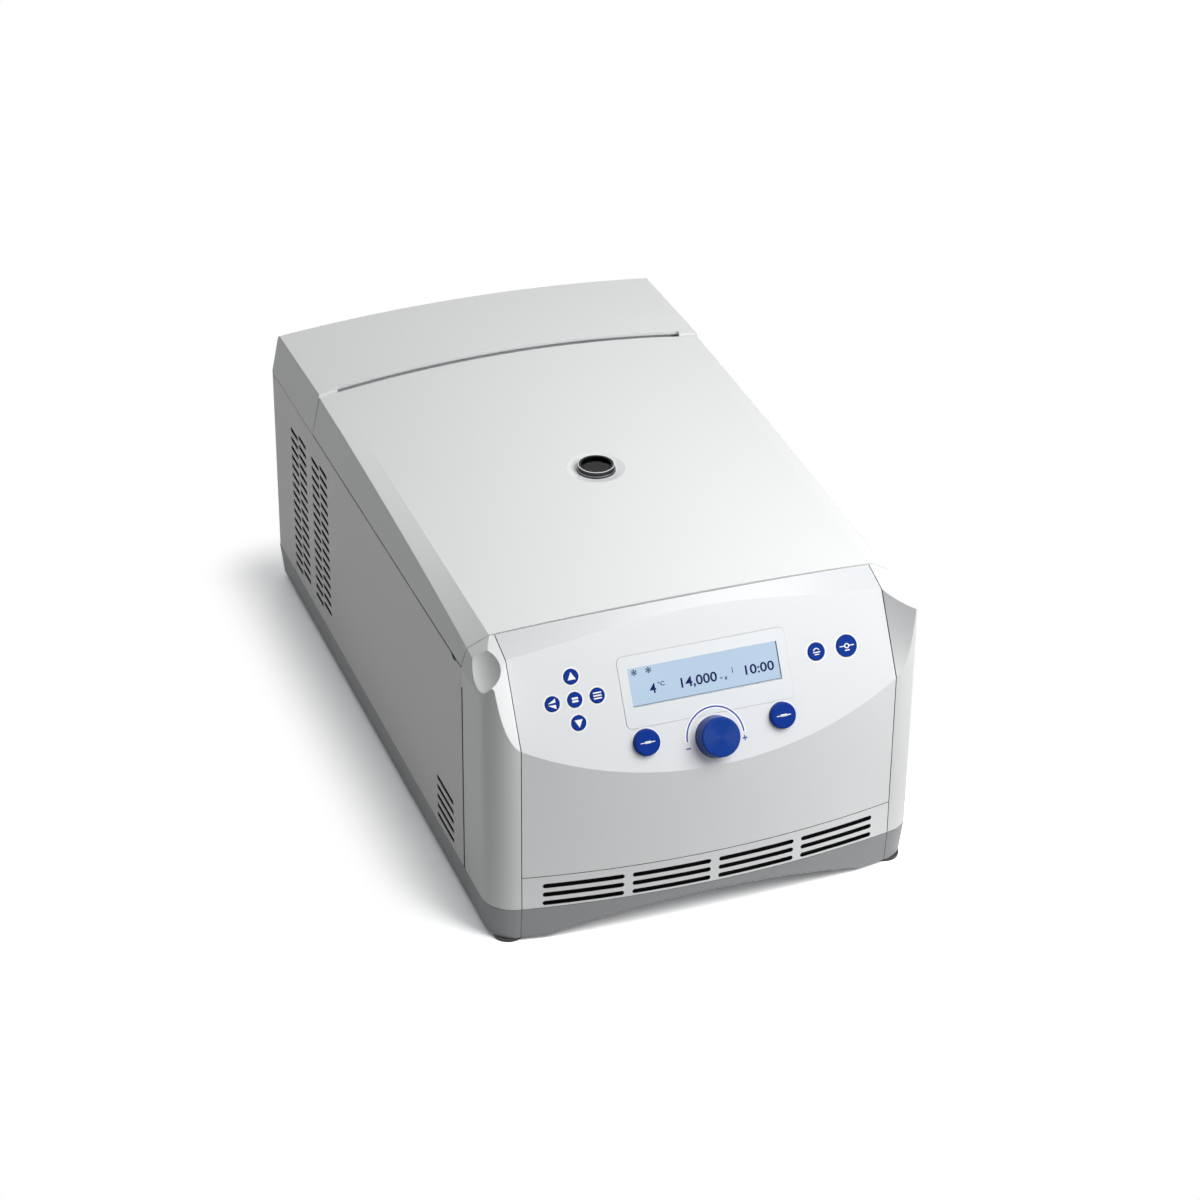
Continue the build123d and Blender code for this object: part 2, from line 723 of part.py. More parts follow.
def foot_places():
    """Middles of the four feet."""
    x = HALF_WIDTH - FOOT_INSET_X
    return [(sx * x, y) for sx in (-1, 1) for y in (NOSE_Y + FOOT_INSET_FRONT, REAR_Y - FOOT_INSET_REAR)]


def base_tray():
    """Dark base: floor plate, tapered skirt, and the arch in front."""
    low = Pos(0, 0, BASE_LOW) * front_outline(BULGE_BOTTOM, BASE_TAPER)
    high = Pos(0, 0, BASE_TOP) * front_outline(BULGE_BOTTOM, 0)
    floor = Pos(0, 0, PLATE_TOP) * front_outline(BULGE_BOTTOM, BASE_TAPER + WALL)
    rim = Pos(0, 0, BASE_TOP + 1) * front_outline(BULGE_BOTTOM, WALL)
    depth = FRONT_SEAM_SETBACK + ARCH_DEPTH
    hollow = loft([floor, rim], ruled=True) - arch_prism(WALL, depth + WALL)
    tray = loft([low, high], ruled=True) - hollow - arch_prism(0, depth)
    for x, y in foot_places():
        tray -= rod(FOOT_STUD_R + FOOT_FIT, 0, PLATE_TOP + 1, x, y)
    return tray


def rubber_feet():
    """Four rubber feet, each with a stud pushed through the base."""
    feet = []
    for x, y in foot_places():
        pad = fillet(rod(FOOT_R, 0, BASE_LOW, x, y).edges().group_by(Axis.Z)[0], FOOT_ROUND)
        feet.append(pad + rod(FOOT_STUD_R, 0.5, PLATE_TOP, x, y))
    return feet


def slots(plane, places, length, height, depth):
    """Rounded slots at places on a plane, cut that deep both ways."""
    with BuildSketch(plane) as pattern:
        with Locations(*places):
            SlotOverall(length, height)
    return extrude(pattern.sketch, depth, both=True)


def side_panel():
    """Right side panel with two double columns of staggered air slots and a small group in front."""
    panel = box(HALF_WIDTH - SHEET_SIDE, HALF_WIDTH, SIDE_SEAM_Y, REAR_Y, BASE_TOP + SEAM_GAP, FAR)
    panel &= under_seam(0)
    rear_edge = panel.edges().filter_by(Axis.Z).group_by(Axis.Y)[-1].sort_by(Axis.X)[-1]
    panel = fillet(rear_edge, SHEET_SIDE - EDGE_LEFT)
    notch_y = SIDE_SEAM_Y + NOTCH_FROM_FRONT
    panel -= rod_x(NOTCH_R, HALF_WIDTH - NOTCH_DEPTH, FAR, notch_y, seam_z(notch_y) + NOTCH_RISE)
    places = []
    y = REAR_Y - VENT_FROM_REAR - VENT_COLUMN_LENGTH / 2
    for column in range(4):
        lift = VENT_STAGGER * ((column + 1) // 2)
        places += [(y, VENT_LOW_Z + lift + row * VENT_PITCH) for row in range(VENT_ROWS)]
        y -= VENT_COLUMN_LENGTH + (VENT_COLUMN_GAP if column == 1 else VENT_WEB)
    plane = Plane.YZ.offset(HALF_WIDTH)
    panel -= slots(plane, places, VENT_COLUMN_LENGTH, VENT_SLOT, 2 * SHEET_SIDE)
    y = NOSE_Y + SMALL_VENT_FROM_NOSE
    front = [(y, SMALL_VENT_LOW_Z + row * VENT_PITCH) for row in range(SMALL_VENT_ROWS)]
    return panel - slots(plane, front, SMALL_VENT_LENGTH, VENT_SLOT, 2 * SHEET_SIDE)


def rear_cut(width, height, z, fit):
    """Cut-out through the rear panel for the inlet or the switch."""
    w = width / 2 + fit
    h = height / 2 + fit
    return box(INLET_X - w, INLET_X + w, REAR_FACE - 10, REAR_FACE + 10, z - h, z + h)


def rear_screw_places():
    """Screws round the rear panel, as X and Z."""
    x = HALF_WIDTH - SHEET_SIDE - REAR_SCREW_INSET
    top = seam_z(REAR_Y) - REAR_SCREW_INSET
    low = BASE_TOP + REAR_SCREW_INSET
    return [(sx, z) for z in (low, (low + top) / 2, top) for sx in (-x, x)] + [(0, low), (0, top)]


def rear_panel():
    """Sheet-metal back with air slots, inlet and switch cut-outs and screw holes."""
    half = HALF_WIDTH - SHEET_SIDE - DECK_EDGE_PLAY
    top = seam_z(REAR_Y) - SEAM_GAP
    panel = box(-half, half, REAR_FACE - REAR_SHEET, REAR_FACE, BASE_TOP + SEAM_GAP, top)
    rows = range(REAR_VENT_ROWS)
    places = [(x, REAR_VENT_LOW_Z + row * REAR_VENT_PITCH) for x in (-REAR_VENT_X, 0) for row in rows]
    panel -= slots(Plane.XZ.offset(-REAR_FACE), places, REAR_VENT_LENGTH, VENT_SLOT, 2 * REAR_SHEET)
    for x, z in rear_screw_places():
        panel -= rod_y(SCREW_R + SCREW_FIT, REAR_FACE - 10, REAR_FACE + 10, x, z)
    panel -= rear_cut(INLET_WIDTH, INLET_HEIGHT, INLET_Z, INLET_FIT)
    frame = 2 * SWITCH_FRAME
    return panel - rear_cut(SWITCH_WIDTH + frame, SWITCH_HEIGHT + frame, SWITCH_Z, INLET_FIT)


def rear_screws():
    """Pan-head screws that hold the rear panel."""
    screws = []
    for x, z in rear_screw_places():
        head = rod_y(SCREW_HEAD_R, REAR_FACE, REAR_FACE + SCREW_HEAD, x, z)
        head -= rod_y(SCREW_HEAD_R / 3, REAR_FACE + SCREW_HEAD / 2, REAR_FACE + SCREW_HEAD + 1, x, z)
        screws.append(head + rod_y(SCREW_R, REAR_FACE - SCREW_LENGTH, REAR_FACE + SCREW_HEAD / 2, x, z))
    return screws


def mains_inlet():
    """Three-pin appliance inlet with a rim outside the panel."""
    outer = box(INLET_X - INLET_WIDTH / 2, INLET_X + INLET_WIDTH / 2, REAR_FACE - INLET_DEPTH, REAR_FACE,
                INLET_Z - INLET_HEIGHT / 2, INLET_Z + INLET_HEIGHT / 2)
    w = INLET_WIDTH / 2 + INLET_RIM
    h = INLET_HEIGHT / 2 + INLET_RIM
    rim_y = REAR_FACE + INLET_RIM_THICK
    outer += box(INLET_X - w, INLET_X + w, REAR_FACE, rim_y, INLET_Z - h, INLET_Z + h)
    w = INLET_WIDTH / 2 - INLET_WALL
    h = INLET_HEIGHT / 2 - INLET_WALL
    back = REAR_FACE - INLET_DEPTH + INLET_WALL
    inlet = outer - box(INLET_X - w, INLET_X + w, back, rim_y + 1, INLET_Z - h, INLET_Z + h)
    for dx, dz in ((-INLET_PIN_PITCH, -1), (0, 3), (INLET_PIN_PITCH, -1)):
        x, z = INLET_X + dx, INLET_Z + dz
        inlet += box(x - INLET_PIN_WIDTH / 2, x + INLET_PIN_WIDTH / 2, back - 1, rim_y - INLET_PIN_RECESS,
                     z - INLET_PIN_HEIGHT / 2, z + INLET_PIN_HEIGHT / 2)
    return inlet


def switch_housing():
    """Frame and box of the mains switch, with the rocker's pivot pins."""
    w = SWITCH_WIDTH / 2
    h = SWITCH_HEIGHT / 2
    f = SWITCH_FRAME
    rim_y = REAR_FACE + INLET_RIM_THICK / 2
    back = REAR_FACE - SWITCH_DEPTH
    housing = box(INLET_X - w - f, INLET_X + w + f, back, rim_y, SWITCH_Z - h - f, SWITCH_Z + h + f)
    housing -= box(INLET_X - w, INLET_X + w, back + f, rim_y + 1, SWITCH_Z - h, SWITCH_Z + h)
    return housing + rod_x(SWITCH_PIVOT_R, INLET_X - w, INLET_X + w, REAR_FACE - SWITCH_PIVOT_DEEP, SWITCH_Z)


def switch_rocker():
    """Rocker of the mains switch."""
    w = SWITCH_WIDTH / 2 - SWITCH_PLAY
    h = SWITCH_HEIGHT / 2 - SWITCH_PLAY
    pivot = REAR_FACE - SWITCH_PIVOT_DEEP
    front = REAR_FACE + SWITCH_PROUD
    rocker = box(INLET_X - w, INLET_X + w, pivot - h / 2, front, SWITCH_Z - h, SWITCH_Z + h)
    return rocker - rod_x(SWITCH_PIVOT_R + SWITCH_RUNNING, INLET_X - FAR, INLET_X + FAR, pivot, SWITCH_Z)


def rear_hollow(inset):
    """Space inside the rear cover."""
    front = LID_REAR_Y + SEAM_GAP - 5
    return top_block(front, REAR_Y - WALL, inset, REAR_PROUD, REAR_DROP, REAR_CROWN)


def rear_cover():
    """Moulded cover behind the lid. It stands a little proud and leaves a slot for the lid's edge."""
    front = LID_REAR_Y + SEAM_GAP
    outer = top_block(front, REAR_Y, 0, REAR_PROUD, REAR_DROP, REAR_CROWN) - under_seam(SEAM_GAP)
    top_rear = outer.edges().group_by(Axis.Y)[-1].filter_by(GeomType.LINE, reverse=True)
    outer = fillet(top_rear, REAR_EDGE_ROUND)
    slot = box(-HINGE_SLOT_HALF, HINGE_SLOT_HALF, front - 5, LID_REAR_Y + HINGE_SLOT, 0, FAR)
    return outer - rear_hollow(WALL) - slot


def lid_block(inset):
    """The lid's outer form, or what is left of it inside a wall."""
    block = top_block(LID_NOSE_Y - 5, LID_REAR_Y + 20, inset)
    block &= lid_prism(-inset, 0, FAR)
    block -= chamfer_cutter(inset)
    return block - box(-FAR, FAR, LID_REAR_Y - inset, FAR, 0, FAR)


def ear_spans():
    """X from and to of the two ears of the right hinge."""
    half = KNUCKLE_WIDTH / 2 + EAR_PLAY
    return ((HINGE_X - half - EAR, HINGE_X - half), (HINGE_X + half, HINGE_X + half + EAR))


def lid_shell():
    """Outer shell of the lid, with notches for the hinge ears and the hole for the sight glass."""
    shell = lid_block(0) - lid_block(LID_WALL) - under_seam(LID_SIDE_GAP)
    reach = KNUCKLE_WIDTH / 2 + EAR_PLAY + EAR + EAR_SWEEP_ROOM
    for side in (-1, 1):
        x = side * HINGE_X
        top = HINGE_Z + KNUCKLE_R + EAR_SWEEP_ROOM
        shell -= box(x - reach, x + reach, LID_REAR_Y - LID_WALL - 1, LID_REAR_Y + 1, 0, top)
    z = TOP_EDGE_Z + CROWN
    cone = Pos(0, CHAMBER_Y, z - DISH_DEPTH / 2) * Cone(RING_FOOT_R + DISH_FLAT, DISH_R, DISH_DEPTH)
    shell -= cone + rod(DISH_R, z, z + 5, 0, CHAMBER_Y)
    return shell - rod(RING_TUBE_R + GLASS_FIT, 0, FAR, 0, CHAMBER_Y)


def striker_slot(x, room):
    """Space of a striker plate, with room round it."""
    w = STRIKER_SHEET / 2 + room
    h = STRIKER_WIDTH / 2 + room
    return box(x - w, x + w, LATCH_Y - h, LATCH_Y + h, 0, FAR)


def lid_liner():
    """Inner lid: a flat pan, the ring that closes on the gasket, and a shallow plug over the bowl."""
    sheet = box(-FAR, FAR, -FAR, HINGE_Y - LINER_REAR_ROOM, LINER_Z, LINER_Z + LINER_SHEET)
    pan = lid_block(LID_WALL + LINER_FIT) & sheet
    ring_low = DECK_TOP + GASKET_HEIGHT + GASKET_FIT
    seat = rod(GASKET_R + GASKET_WIDTH + 4, ring_low, LINER_Z, 0, CHAMBER_Y)
    seat -= rod(BOWL_R - PLUG_ROOM, 0, LINER_Z, 0, CHAMBER_Y)
    plug = rod(BOWL_R - PLUG_ROOM, DECK_TOP + PLUG_ABOVE_DECK, LINER_Z, 0, CHAMBER_Y)
    plug -= rod(BOWL_R - PLUG_ROOM - WALL, 0, LINER_Z, 0, CHAMBER_Y)
    liner = pan + seat + plug
    for x in (-LATCH_X, LATCH_X):
        liner -= striker_slot(x, 0)
    return liner - rod(RING_TUBE_R + GLASS_FIT, 0, FAR, 0, CHAMBER_Y)


def sight_ring():
    """Chrome collar of the sight glass, with a tube down to the inner lid."""
    foot = TOP_EDGE_Z + CROWN - DISH_DEPTH
    collar = Pos(0, CHAMBER_Y, foot + RING_HEIGHT / 2) * Cone(RING_FOOT_R, RING_TOP_R, RING_HEIGHT)
    ring = collar + rod(RING_TUBE_R, LINER_Z, foot + 1, 0, CHAMBER_Y)
    ring -= rod(RING_BORE_R, 0, FAR, 0, CHAMBER_Y)
    return ring


def sight_panes():
    """Two clear panes, one in the collar and one level with the inner lid."""
    top = TOP_EDGE_Z + CROWN - DISH_DEPTH + RING_HEIGHT - GLASS_DROP
    panes = [(top - GLASS_SHEET, top), (LINER_Z, LINER_Z + GLASS_SHEET)]
    return [rod(RING_BORE_R - GLASS_FIT, z0, z1, 0, CHAMBER_Y) for z0, z1 in panes]


def strikers():
    """Two striker plates under the inner lid, each with a window for a bolt."""
    plates = []
    for x in (-LATCH_X, LATCH_X):
        plate = striker_slot(x, 0) & box(-FAR, FAR, -FAR, FAR, STRIKER_TIP, LINER_Z + LINER_SHEET)
        plates.append(plate - rod_x(BOLT_R + BOLT_WINDOW_PLAY, x - 5, x + 5, LATCH_Y, BOLT_Z))
    return plates


def hinge_arms():
    """Two arms that carry the lid, each with a knuckle round its pin and a flange under the lid's skin."""
    arms = []
    flange_top = crown_z(HINGE_X + FLANGE_HALF) - LID_WALL - FLANGE_FIT
    for side in (-1, 1):
        x = side * HINGE_X
        half = KNUCKLE_WIDTH / 2
        arm = rod_x(KNUCKLE_R, x - half, x + half, HINGE_Y, HINGE_Z)
        arm += box(x - half, x + half, HINGE_Y - ARM_LENGTH, HINGE_Y,
                   HINGE_Z - KNUCKLE_R, HINGE_Z + KNUCKLE_R - ARM_SETDOWN)
        arm += box(x - FLANGE_HALF, x + FLANGE_HALF, HINGE_Y - ARM_LENGTH, HINGE_Y - FLANGE_SETBACK,
                   flange_top - LID_WALL, flange_top)
        arms.append(arm - rod_x(PIN_R + PIN_RUNNING, x - 20, x + 20, HINGE_Y, HINGE_Z))
    return arms


def hinge_brackets():
    """Two brackets on the deck, each with a foot and two ears."""
    brackets = []
    for side in (-1, 1):
        spans = [sorted((side * a, side * b)) for a, b in ear_spans()]
        x0 = min(a for a, b in spans)
        x1 = max(b for a, b in spans)
        bracket = box(x0 - 3, x1 + 3, HINGE_Y - KNUCKLE_R, WALL_Y, DECK_TOP, DECK_TOP + EAR)
        for a, b in spans:
            bracket += box(a, b, HINGE_Y - KNUCKLE_R, HINGE_Y + KNUCKLE_R, DECK_TOP, HINGE_Z)
            bracket += rod_x(KNUCKLE_R, a, b, HINGE_Y, HINGE_Z)
        brackets.append(bracket - rod_x(PIN_R, x0 - 1, x1 + 1, HINGE_Y, HINGE_Z))
    return brackets


def hinge_pins():
    """Pins held in the ears."""
    ends = ear_spans()
    spans = [sorted((side * ends[0][0], side * ends[1][1])) for side in (-1, 1)]
    return [rod_x(PIN_R, x0, x1, HINGE_Y, HINGE_Z) for x0, x1 in spans]


def hinge_wall():
    """Upright wall behind the hinge that closes the machine compartment."""
    return rear_hollow(WALL + WALL_FIT) & box(-FAR, FAR, WALL_Y, WALL_Y + REAR_SHEET, DECK_TOP, FAR)


def chamber_deck():
    """White deck under the lid, with the bowl's opening, a raised gasket seat and the latch slots."""
    half = HALF_WIDTH - WALL - DECK_EDGE_PLAY
    deck = lid_prism(LID_GAP + WALL - DECK_EDGE_PLAY, DECK_LOW, DECK_TOP)
    deck += box(-half, half, LID_REAR_Y - 10, WALL_Y + REAR_SHEET, DECK_LOW, DECK_TOP)
    deck &= box(-half, half, -FAR, FAR, 0, FAR)
    deck -= rod(BOWL_R + BOWL_SHEET + COIL_PLAY, 0, FAR, 0, CHAMBER_Y)
    for x in (-LATCH_X, LATCH_X):
        deck -= striker_slot(x, STRIKER_ROOM)
    return deck


def bowl():
    """Stainless rotor bowl with a flange that lies on the deck."""
    with BuildPart() as made:
        with BuildSketch(Plane.XZ):
            with BuildLine():
                r = BOWL_R + BOWL_SHEET
                low = BOWL_LOW - BOWL_SHEET
                c = BOWL_CORNER + BOWL_SHEET
                Polyline((BOWL_SHAFT_HOLE, BOWL_LOW), (BOWL_SHAFT_HOLE, low), (r - c, low))
                RadiusArc((r - c, low), (r, low + c), -c)
                Polyline((r, low + c), (r, DECK_TOP), (r + BOWL_FLANGE, DECK_TOP),
                         (r + BOWL_FLANGE, DECK_TOP + BOWL_SHEET), (BOWL_R, DECK_TOP + BOWL_SHEET),
                         (BOWL_R, BOWL_LOW + BOWL_CORNER))
                RadiusArc((BOWL_R, BOWL_LOW + BOWL_CORNER), (BOWL_R - BOWL_CORNER, BOWL_LOW), BOWL_CORNER)
                Line((BOWL_R - BOWL_CORNER, BOWL_LOW), (BOWL_SHAFT_HOLE, BOWL_LOW))
            make_face()
        revolve(axis=Axis.Z)
    return Pos(0, CHAMBER_Y, 0) * made.part


def gasket():
    """Rubber ring on the deck round the bowl, with a soft lip on top."""
    base = pipe(GASKET_R + GASKET_WIDTH, GASKET_R, DECK_TOP, DECK_TOP + GASKET_HEIGHT, 0, CHAMBER_Y)
    return fillet(base.edges().group_by(Axis.Z)[-1], GASKET_WIDTH / 3)


def evaporator():
    """Copper tube wound round the bowl."""
    path = Helix(COIL_PITCH, COIL_PITCH * COIL_TURNS, COIL_R)
    start = Plane(origin=path @ 0, z_dir=path % 0)
    tube = sweep(start * Circle(COIL_TUBE_R), path=path, is_frenet=True)
    return Pos(0, CHAMBER_Y, COIL_Z) * tube


def insulation():
    """Foam cup round the bowl and its coil, with two holes for the coil's pipes."""
    r = COIL_R + COIL_TUBE_R + COIL_PLAY
    foam = rod(r + FOAM_WALL, FOAM_LOW, DECK_LOW, 0, CHAMBER_Y)
    foam -= rod(r, BOWL_LOW - BOWL_SHEET - COIL_PLAY, FAR, 0, CHAMBER_Y)
    for z in (COIL_Z, COIL_END_Z):
        foam -= rod_x(PIPE_R + COIL_PLAY, 0, FAR, CHAMBER_Y, z)
    return foam - rod(FOAM_SHAFT_HOLE, 0, FAR, 0, CHAMBER_Y)


def shaft_seal():
    """Rubber collar in the bowl's floor, just clear of the shaft."""
    z = BOWL_LOW - BOWL_SHEET
    collar = pipe(BOWL_SHAFT_HOLE, SHAFT_R + SEAL_PLAY, z, z + SEAL_HEIGHT, 0, CHAMBER_Y)
    lip = pipe(BOWL_SHAFT_HOLE + 3, SHAFT_R + SEAL_PLAY, z - 3, z, 0, CHAMBER_Y)
    return collar + lip


def rotor():
    """Fixed-angle rotor: a turned body with a sloping mouth and a ring of tilted tube holes."""
    slope = tan(radians(TUBE_TILT))
    mouth_r = ROTOR_FLOOR_R + (ROTOR_HEIGHT - ROTOR_FLOOR) / slope
    under = [(SHAFT_R, 0), (ROTOR_BASE_R, 0), (ROTOR_EDGE_R, ROTOR_EDGE_LOW),
             (ROTOR_EDGE_R, ROTOR_EDGE_HIGH)]
    over = [(mouth_r + ROTOR_RIM, ROTOR_HEIGHT), (mouth_r, ROTOR_HEIGHT), (ROTOR_FLOOR_R, ROTOR_FLOOR),
            (ROTOR_HUB_R, ROTOR_FLOOR), (ROTOR_HUB_R, ROTOR_HUB_TOP), (SHAFT_R, ROTOR_HUB_TOP), (SHAFT_R, 0)]
    with BuildPart() as body:
        with BuildSketch(Plane.XZ):
            with BuildLine():
                Polyline(*under, *over)
            make_face()
        revolve(axis=Axis.Z)
    tube = Pos((ROTOR_FLOOR_R + mouth_r) / 2, 0, (ROTOR_FLOOR + ROTOR_HEIGHT) / 2) * Rot(0, -TUBE_TILT, 0)
    hole = tube * rod(TUBE_R, -TUBE_DEPTH, TUBE_DEPTH / 2)
    made = body.part - [Rot(0, 0, 360 * i / ROTOR_PLACES) * hole for i in range(ROTOR_PLACES)]
    return Pos(0, CHAMBER_Y, ROTOR_LOW) * made


def rotor_nut():
    """Round nut with a hexagon socket that holds the rotor on its shaft."""
    z = ROTOR_LOW + ROTOR_HUB_TOP
    nut = rod(NUT_R, z, z + NUT_HEIGHT, 0, CHAMBER_Y)
    nut = chamfer(nut.edges().group_by(Axis.Z)[-1], 1.2)
    nut -= rod(STUD_R, z - 1, z + STUD_LENGTH, 0, CHAMBER_Y)
    with BuildSketch(Plane.XY.offset(z + NUT_HEIGHT - NUT_KEY_DEPTH)) as key:
        RegularPolygon(NUT_KEY / 2, 6, major_radius=False)
    return nut - Pos(0, CHAMBER_Y, 0) * extrude(key.sketch, NUT_HEIGHT)


def motor_shaft():
    """Shaft from the motor up through the bowl's floor, with the threaded end for the nut."""
    top = ROTOR_LOW + ROTOR_HUB_TOP
    shaft = rod(SHAFT_R, MOTOR_LOW + MOTOR_WALL, top, 0, CHAMBER_Y)
    shaft += rod(ROTOR_HUB_R / 2, ROTOR_LOW - 6, ROTOR_LOW, 0, CHAMBER_Y)
    return shaft + rod(STUD_R, top, top + STUD_LENGTH, 0, CHAMBER_Y)


def bearing_spans():
    """Z from and to of the two bearings."""
    low = MOTOR_LOW + 1
    high = MOTOR_TOP - 1
    return ((low, low + BEARING_WIDTH), (high - BEARING_WIDTH, high))


def motor_housing():
    """Motor casing with two bearing seats and the flange it hangs by."""
    casing = rod(MOTOR_R, MOTOR_LOW, MOTOR_TOP, 0, CHAMBER_Y)
    hollow = rod(MOTOR_R - MOTOR_WALL, MOTOR_LOW + MOTOR_WALL, MOTOR_TOP - MOTOR_WALL, 0, CHAMBER_Y)
    (low0, low1), (high0, high1) = bearing_spans()
    boss_r = BEARING_R + BEARING_BOSS
    hollow -= rod(boss_r, MOTOR_LOW, low1, 0, CHAMBER_Y)
    hollow -= rod(boss_r, high0, MOTOR_TOP, 0, CHAMBER_Y)
    casing -= hollow
    casing -= rod(BEARING_R, low0, low1 + 1, 0, CHAMBER_Y)
    casing -= rod(BEARING_R, high0 - 1, high1, 0, CHAMBER_Y)
    casing -= rod(SHAFT_R + SEAL_PLAY, 0, FAR, 0, CHAMBER_Y)
    flange = pipe(MOTOR_FLANGE_R, MOTOR_R, MOTOR_FLANGE_LOW, MOTOR_FLANGE_LOW + MOTOR_FLANGE, 0, CHAMBER_Y)
    casing += flange
    for x, y in mount_places():
        casing -= rod(MOUNT_BOLT_R, MOTOR_FLANGE_LOW - 1, MOTOR_FLANGE_LOW + MOTOR_FLANGE + 1, x, y)
    return casing


def motor_bearings():
    """Two ball bearings, each drawn as one ring."""
    return [pipe(BEARING_R, SHAFT_R + SHAFT_RUNNING, z0, z1, 0, CHAMBER_Y) for z0, z1 in bearing_spans()]


def motor_stator():
    """Wound stator inside the motor casing."""
    middle = (MOTOR_LOW + MOTOR_TOP) / 2
    r = MOTOR_R - MOTOR_WALL
    return pipe(r, r - STATOR_THICK, middle - STATOR_HEIGHT / 2, middle + STATOR_HEIGHT / 2, 0, CHAMBER_Y)


def motor_core():
    """Magnet core pressed on the shaft inside the stator."""
    middle = (MOTOR_LOW + MOTOR_TOP) / 2
    r = MOTOR_R - MOTOR_WALL - STATOR_THICK - AIR_GAP
    half = STATOR_HEIGHT / 2 - AIR_GAP
    return pipe(r, SHAFT_R, middle - half, middle + half, 0, CHAMBER_Y)


def mount_places():
    """Middles of the four motor mounts."""
    step = MOUNT_CIRCLE_R / sqrt(2)
    return [(sx * step, CHAMBER_Y + sy * step) for sx in (-1, 1) for sy in (-1, 1)]


def motor_mounts():
    """Rubber blocks between the motor flange and its plate."""
    low = MOTOR_FLANGE_LOW - MOUNT_HEIGHT
    return [pipe(MOUNT_R, MOUNT_BOLT_R, low, MOTOR_FLANGE_LOW, x, y) for x, y in mount_places()]


def motor_bolts():
    """Bolts through flange, mounts and plate."""
    bolts = []
    for x, y in mount_places():
        top = MOTOR_FLANGE_LOW + MOTOR_FLANGE
        bolt = rod(MOUNT_BOLT_R, MOTOR_PLATE_LOW - 3, top, x, y)
        bolts.append(bolt + rod(2 * MOUNT_BOLT_R, top, top + 3, x, y))
    return bolts


def motor_plate():
    """Plate on four legs that carries the motor."""
    h = MOTOR_PLATE_HALF
    plate = box(-h, h, CHAMBER_Y - h, CHAMBER_Y + h, MOTOR_PLATE_LOW, MOTOR_PLATE_LOW + MOTOR_PLATE)
    plate -= rod(MOTOR_R + MOTOR_PLATE_PLAY, 0, FAR, 0, CHAMBER_Y)
    for x, y in mount_places():
        plate -= rod(MOUNT_BOLT_R, 0, FAR, x, y)
    c = h - MOTOR_LEG
    for sx in (-1, 1):
        for sy in (-1, 1):
            x0, x1 = sorted((sx * c, sx * h))
            y0, y1 = sorted((CHAMBER_Y + sy * c, CHAMBER_Y + sy * h))
            plate += box(x0, x1, y0, y1, PLATE_TOP, MOTOR_PLATE_LOW)
    return plate


def deck_pillars():
    """Four pillars from the base to the deck."""
    x = HALF_WIDTH - PILLAR_FROM_SIDE
    h = PILLAR / 2
    places = [(sx * x, y) for sx in (-1, 1) for y in (NOSE_Y + PILLAR_FROM_NOSE, REAR_Y - PILLAR_FROM_REAR)]
    return [box(px - h, px + h, py - h, py + h, PLATE_TOP, DECK_LOW) for px, py in places]


def bolt_tips():
    """X of each bolt's tip at rest."""
    return [x - STRIKER_SHEET / 2 - BOLT_TO_STRIKER for x in (-LATCH_X, LATCH_X)]


def latch_slider():
    """Bar with two bolts and the solenoid's plunger. It slides to +X to lock."""
    bar_top = STRIKER_TIP - LATCH_BAR_BELOW
    bar_low = bar_top - LATCH_BAR_HEIGHT
    w = LATCH_BAR / 2
    ends = [tip - BOLT_LENGTH for tip in bolt_tips()]
    slider = box(ends[0], ends[1] + LATCH_BAR, LATCH_Y - w, LATCH_Y + w, bar_low, bar_top)
    for tip, end in zip(bolt_tips(), ends):
        slider += rod_x(BOLT_R, end, tip, LATCH_Y, BOLT_Z)
        slider += box(end, end + LATCH_BAR, LATCH_Y - BOLT_R, LATCH_Y + BOLT_R, bar_low, BOLT_Z + BOLT_R)
    plunger_from = SOLENOID_X + SOLENOID_LENGTH / 2 - BOLT_TRAVEL - BOLT_END_ROOM
    return slider + rod_x(PLUNGER_R, plunger_from, ends[1], LATCH_Y, BOLT_Z)


def latch_guides():
    """Two guide blocks under the deck, one for each bolt."""
    blocks = []
    for tip in bolt_tips():
        x1 = tip - BOLT_GUIDE_SETBACK
        w = BOLT_R + BOLT_GUIDE_WALL
        block = box(x1 - BOLT_GUIDE, x1, LATCH_Y - w, LATCH_Y + w, BOLT_Z - w, DECK_LOW)
        blocks.append(block - rod_x(BOLT_R + BOLT_RUNNING, x1 - 50, x1 + 50, LATCH_Y, BOLT_Z))
    return blocks


def latch_solenoid():
    """Solenoid that pulls the latch bar."""
    half = SOLENOID_LENGTH / 2
    h = SOLENOID_SIZE / 2
    x0, x1 = SOLENOID_X - half, SOLENOID_X + half
    body = box(x0, x1, LATCH_Y - h, LATCH_Y + h, DECK_LOW - SOLENOID_SIZE, DECK_LOW)
    bore_from = x1 - BOLT_TRAVEL - 2 * BOLT_END_ROOM
    return body - rod_x(PLUNGER_R + BOLT_RUNNING, bore_from, x1 + 1, LATCH_Y, BOLT_Z)


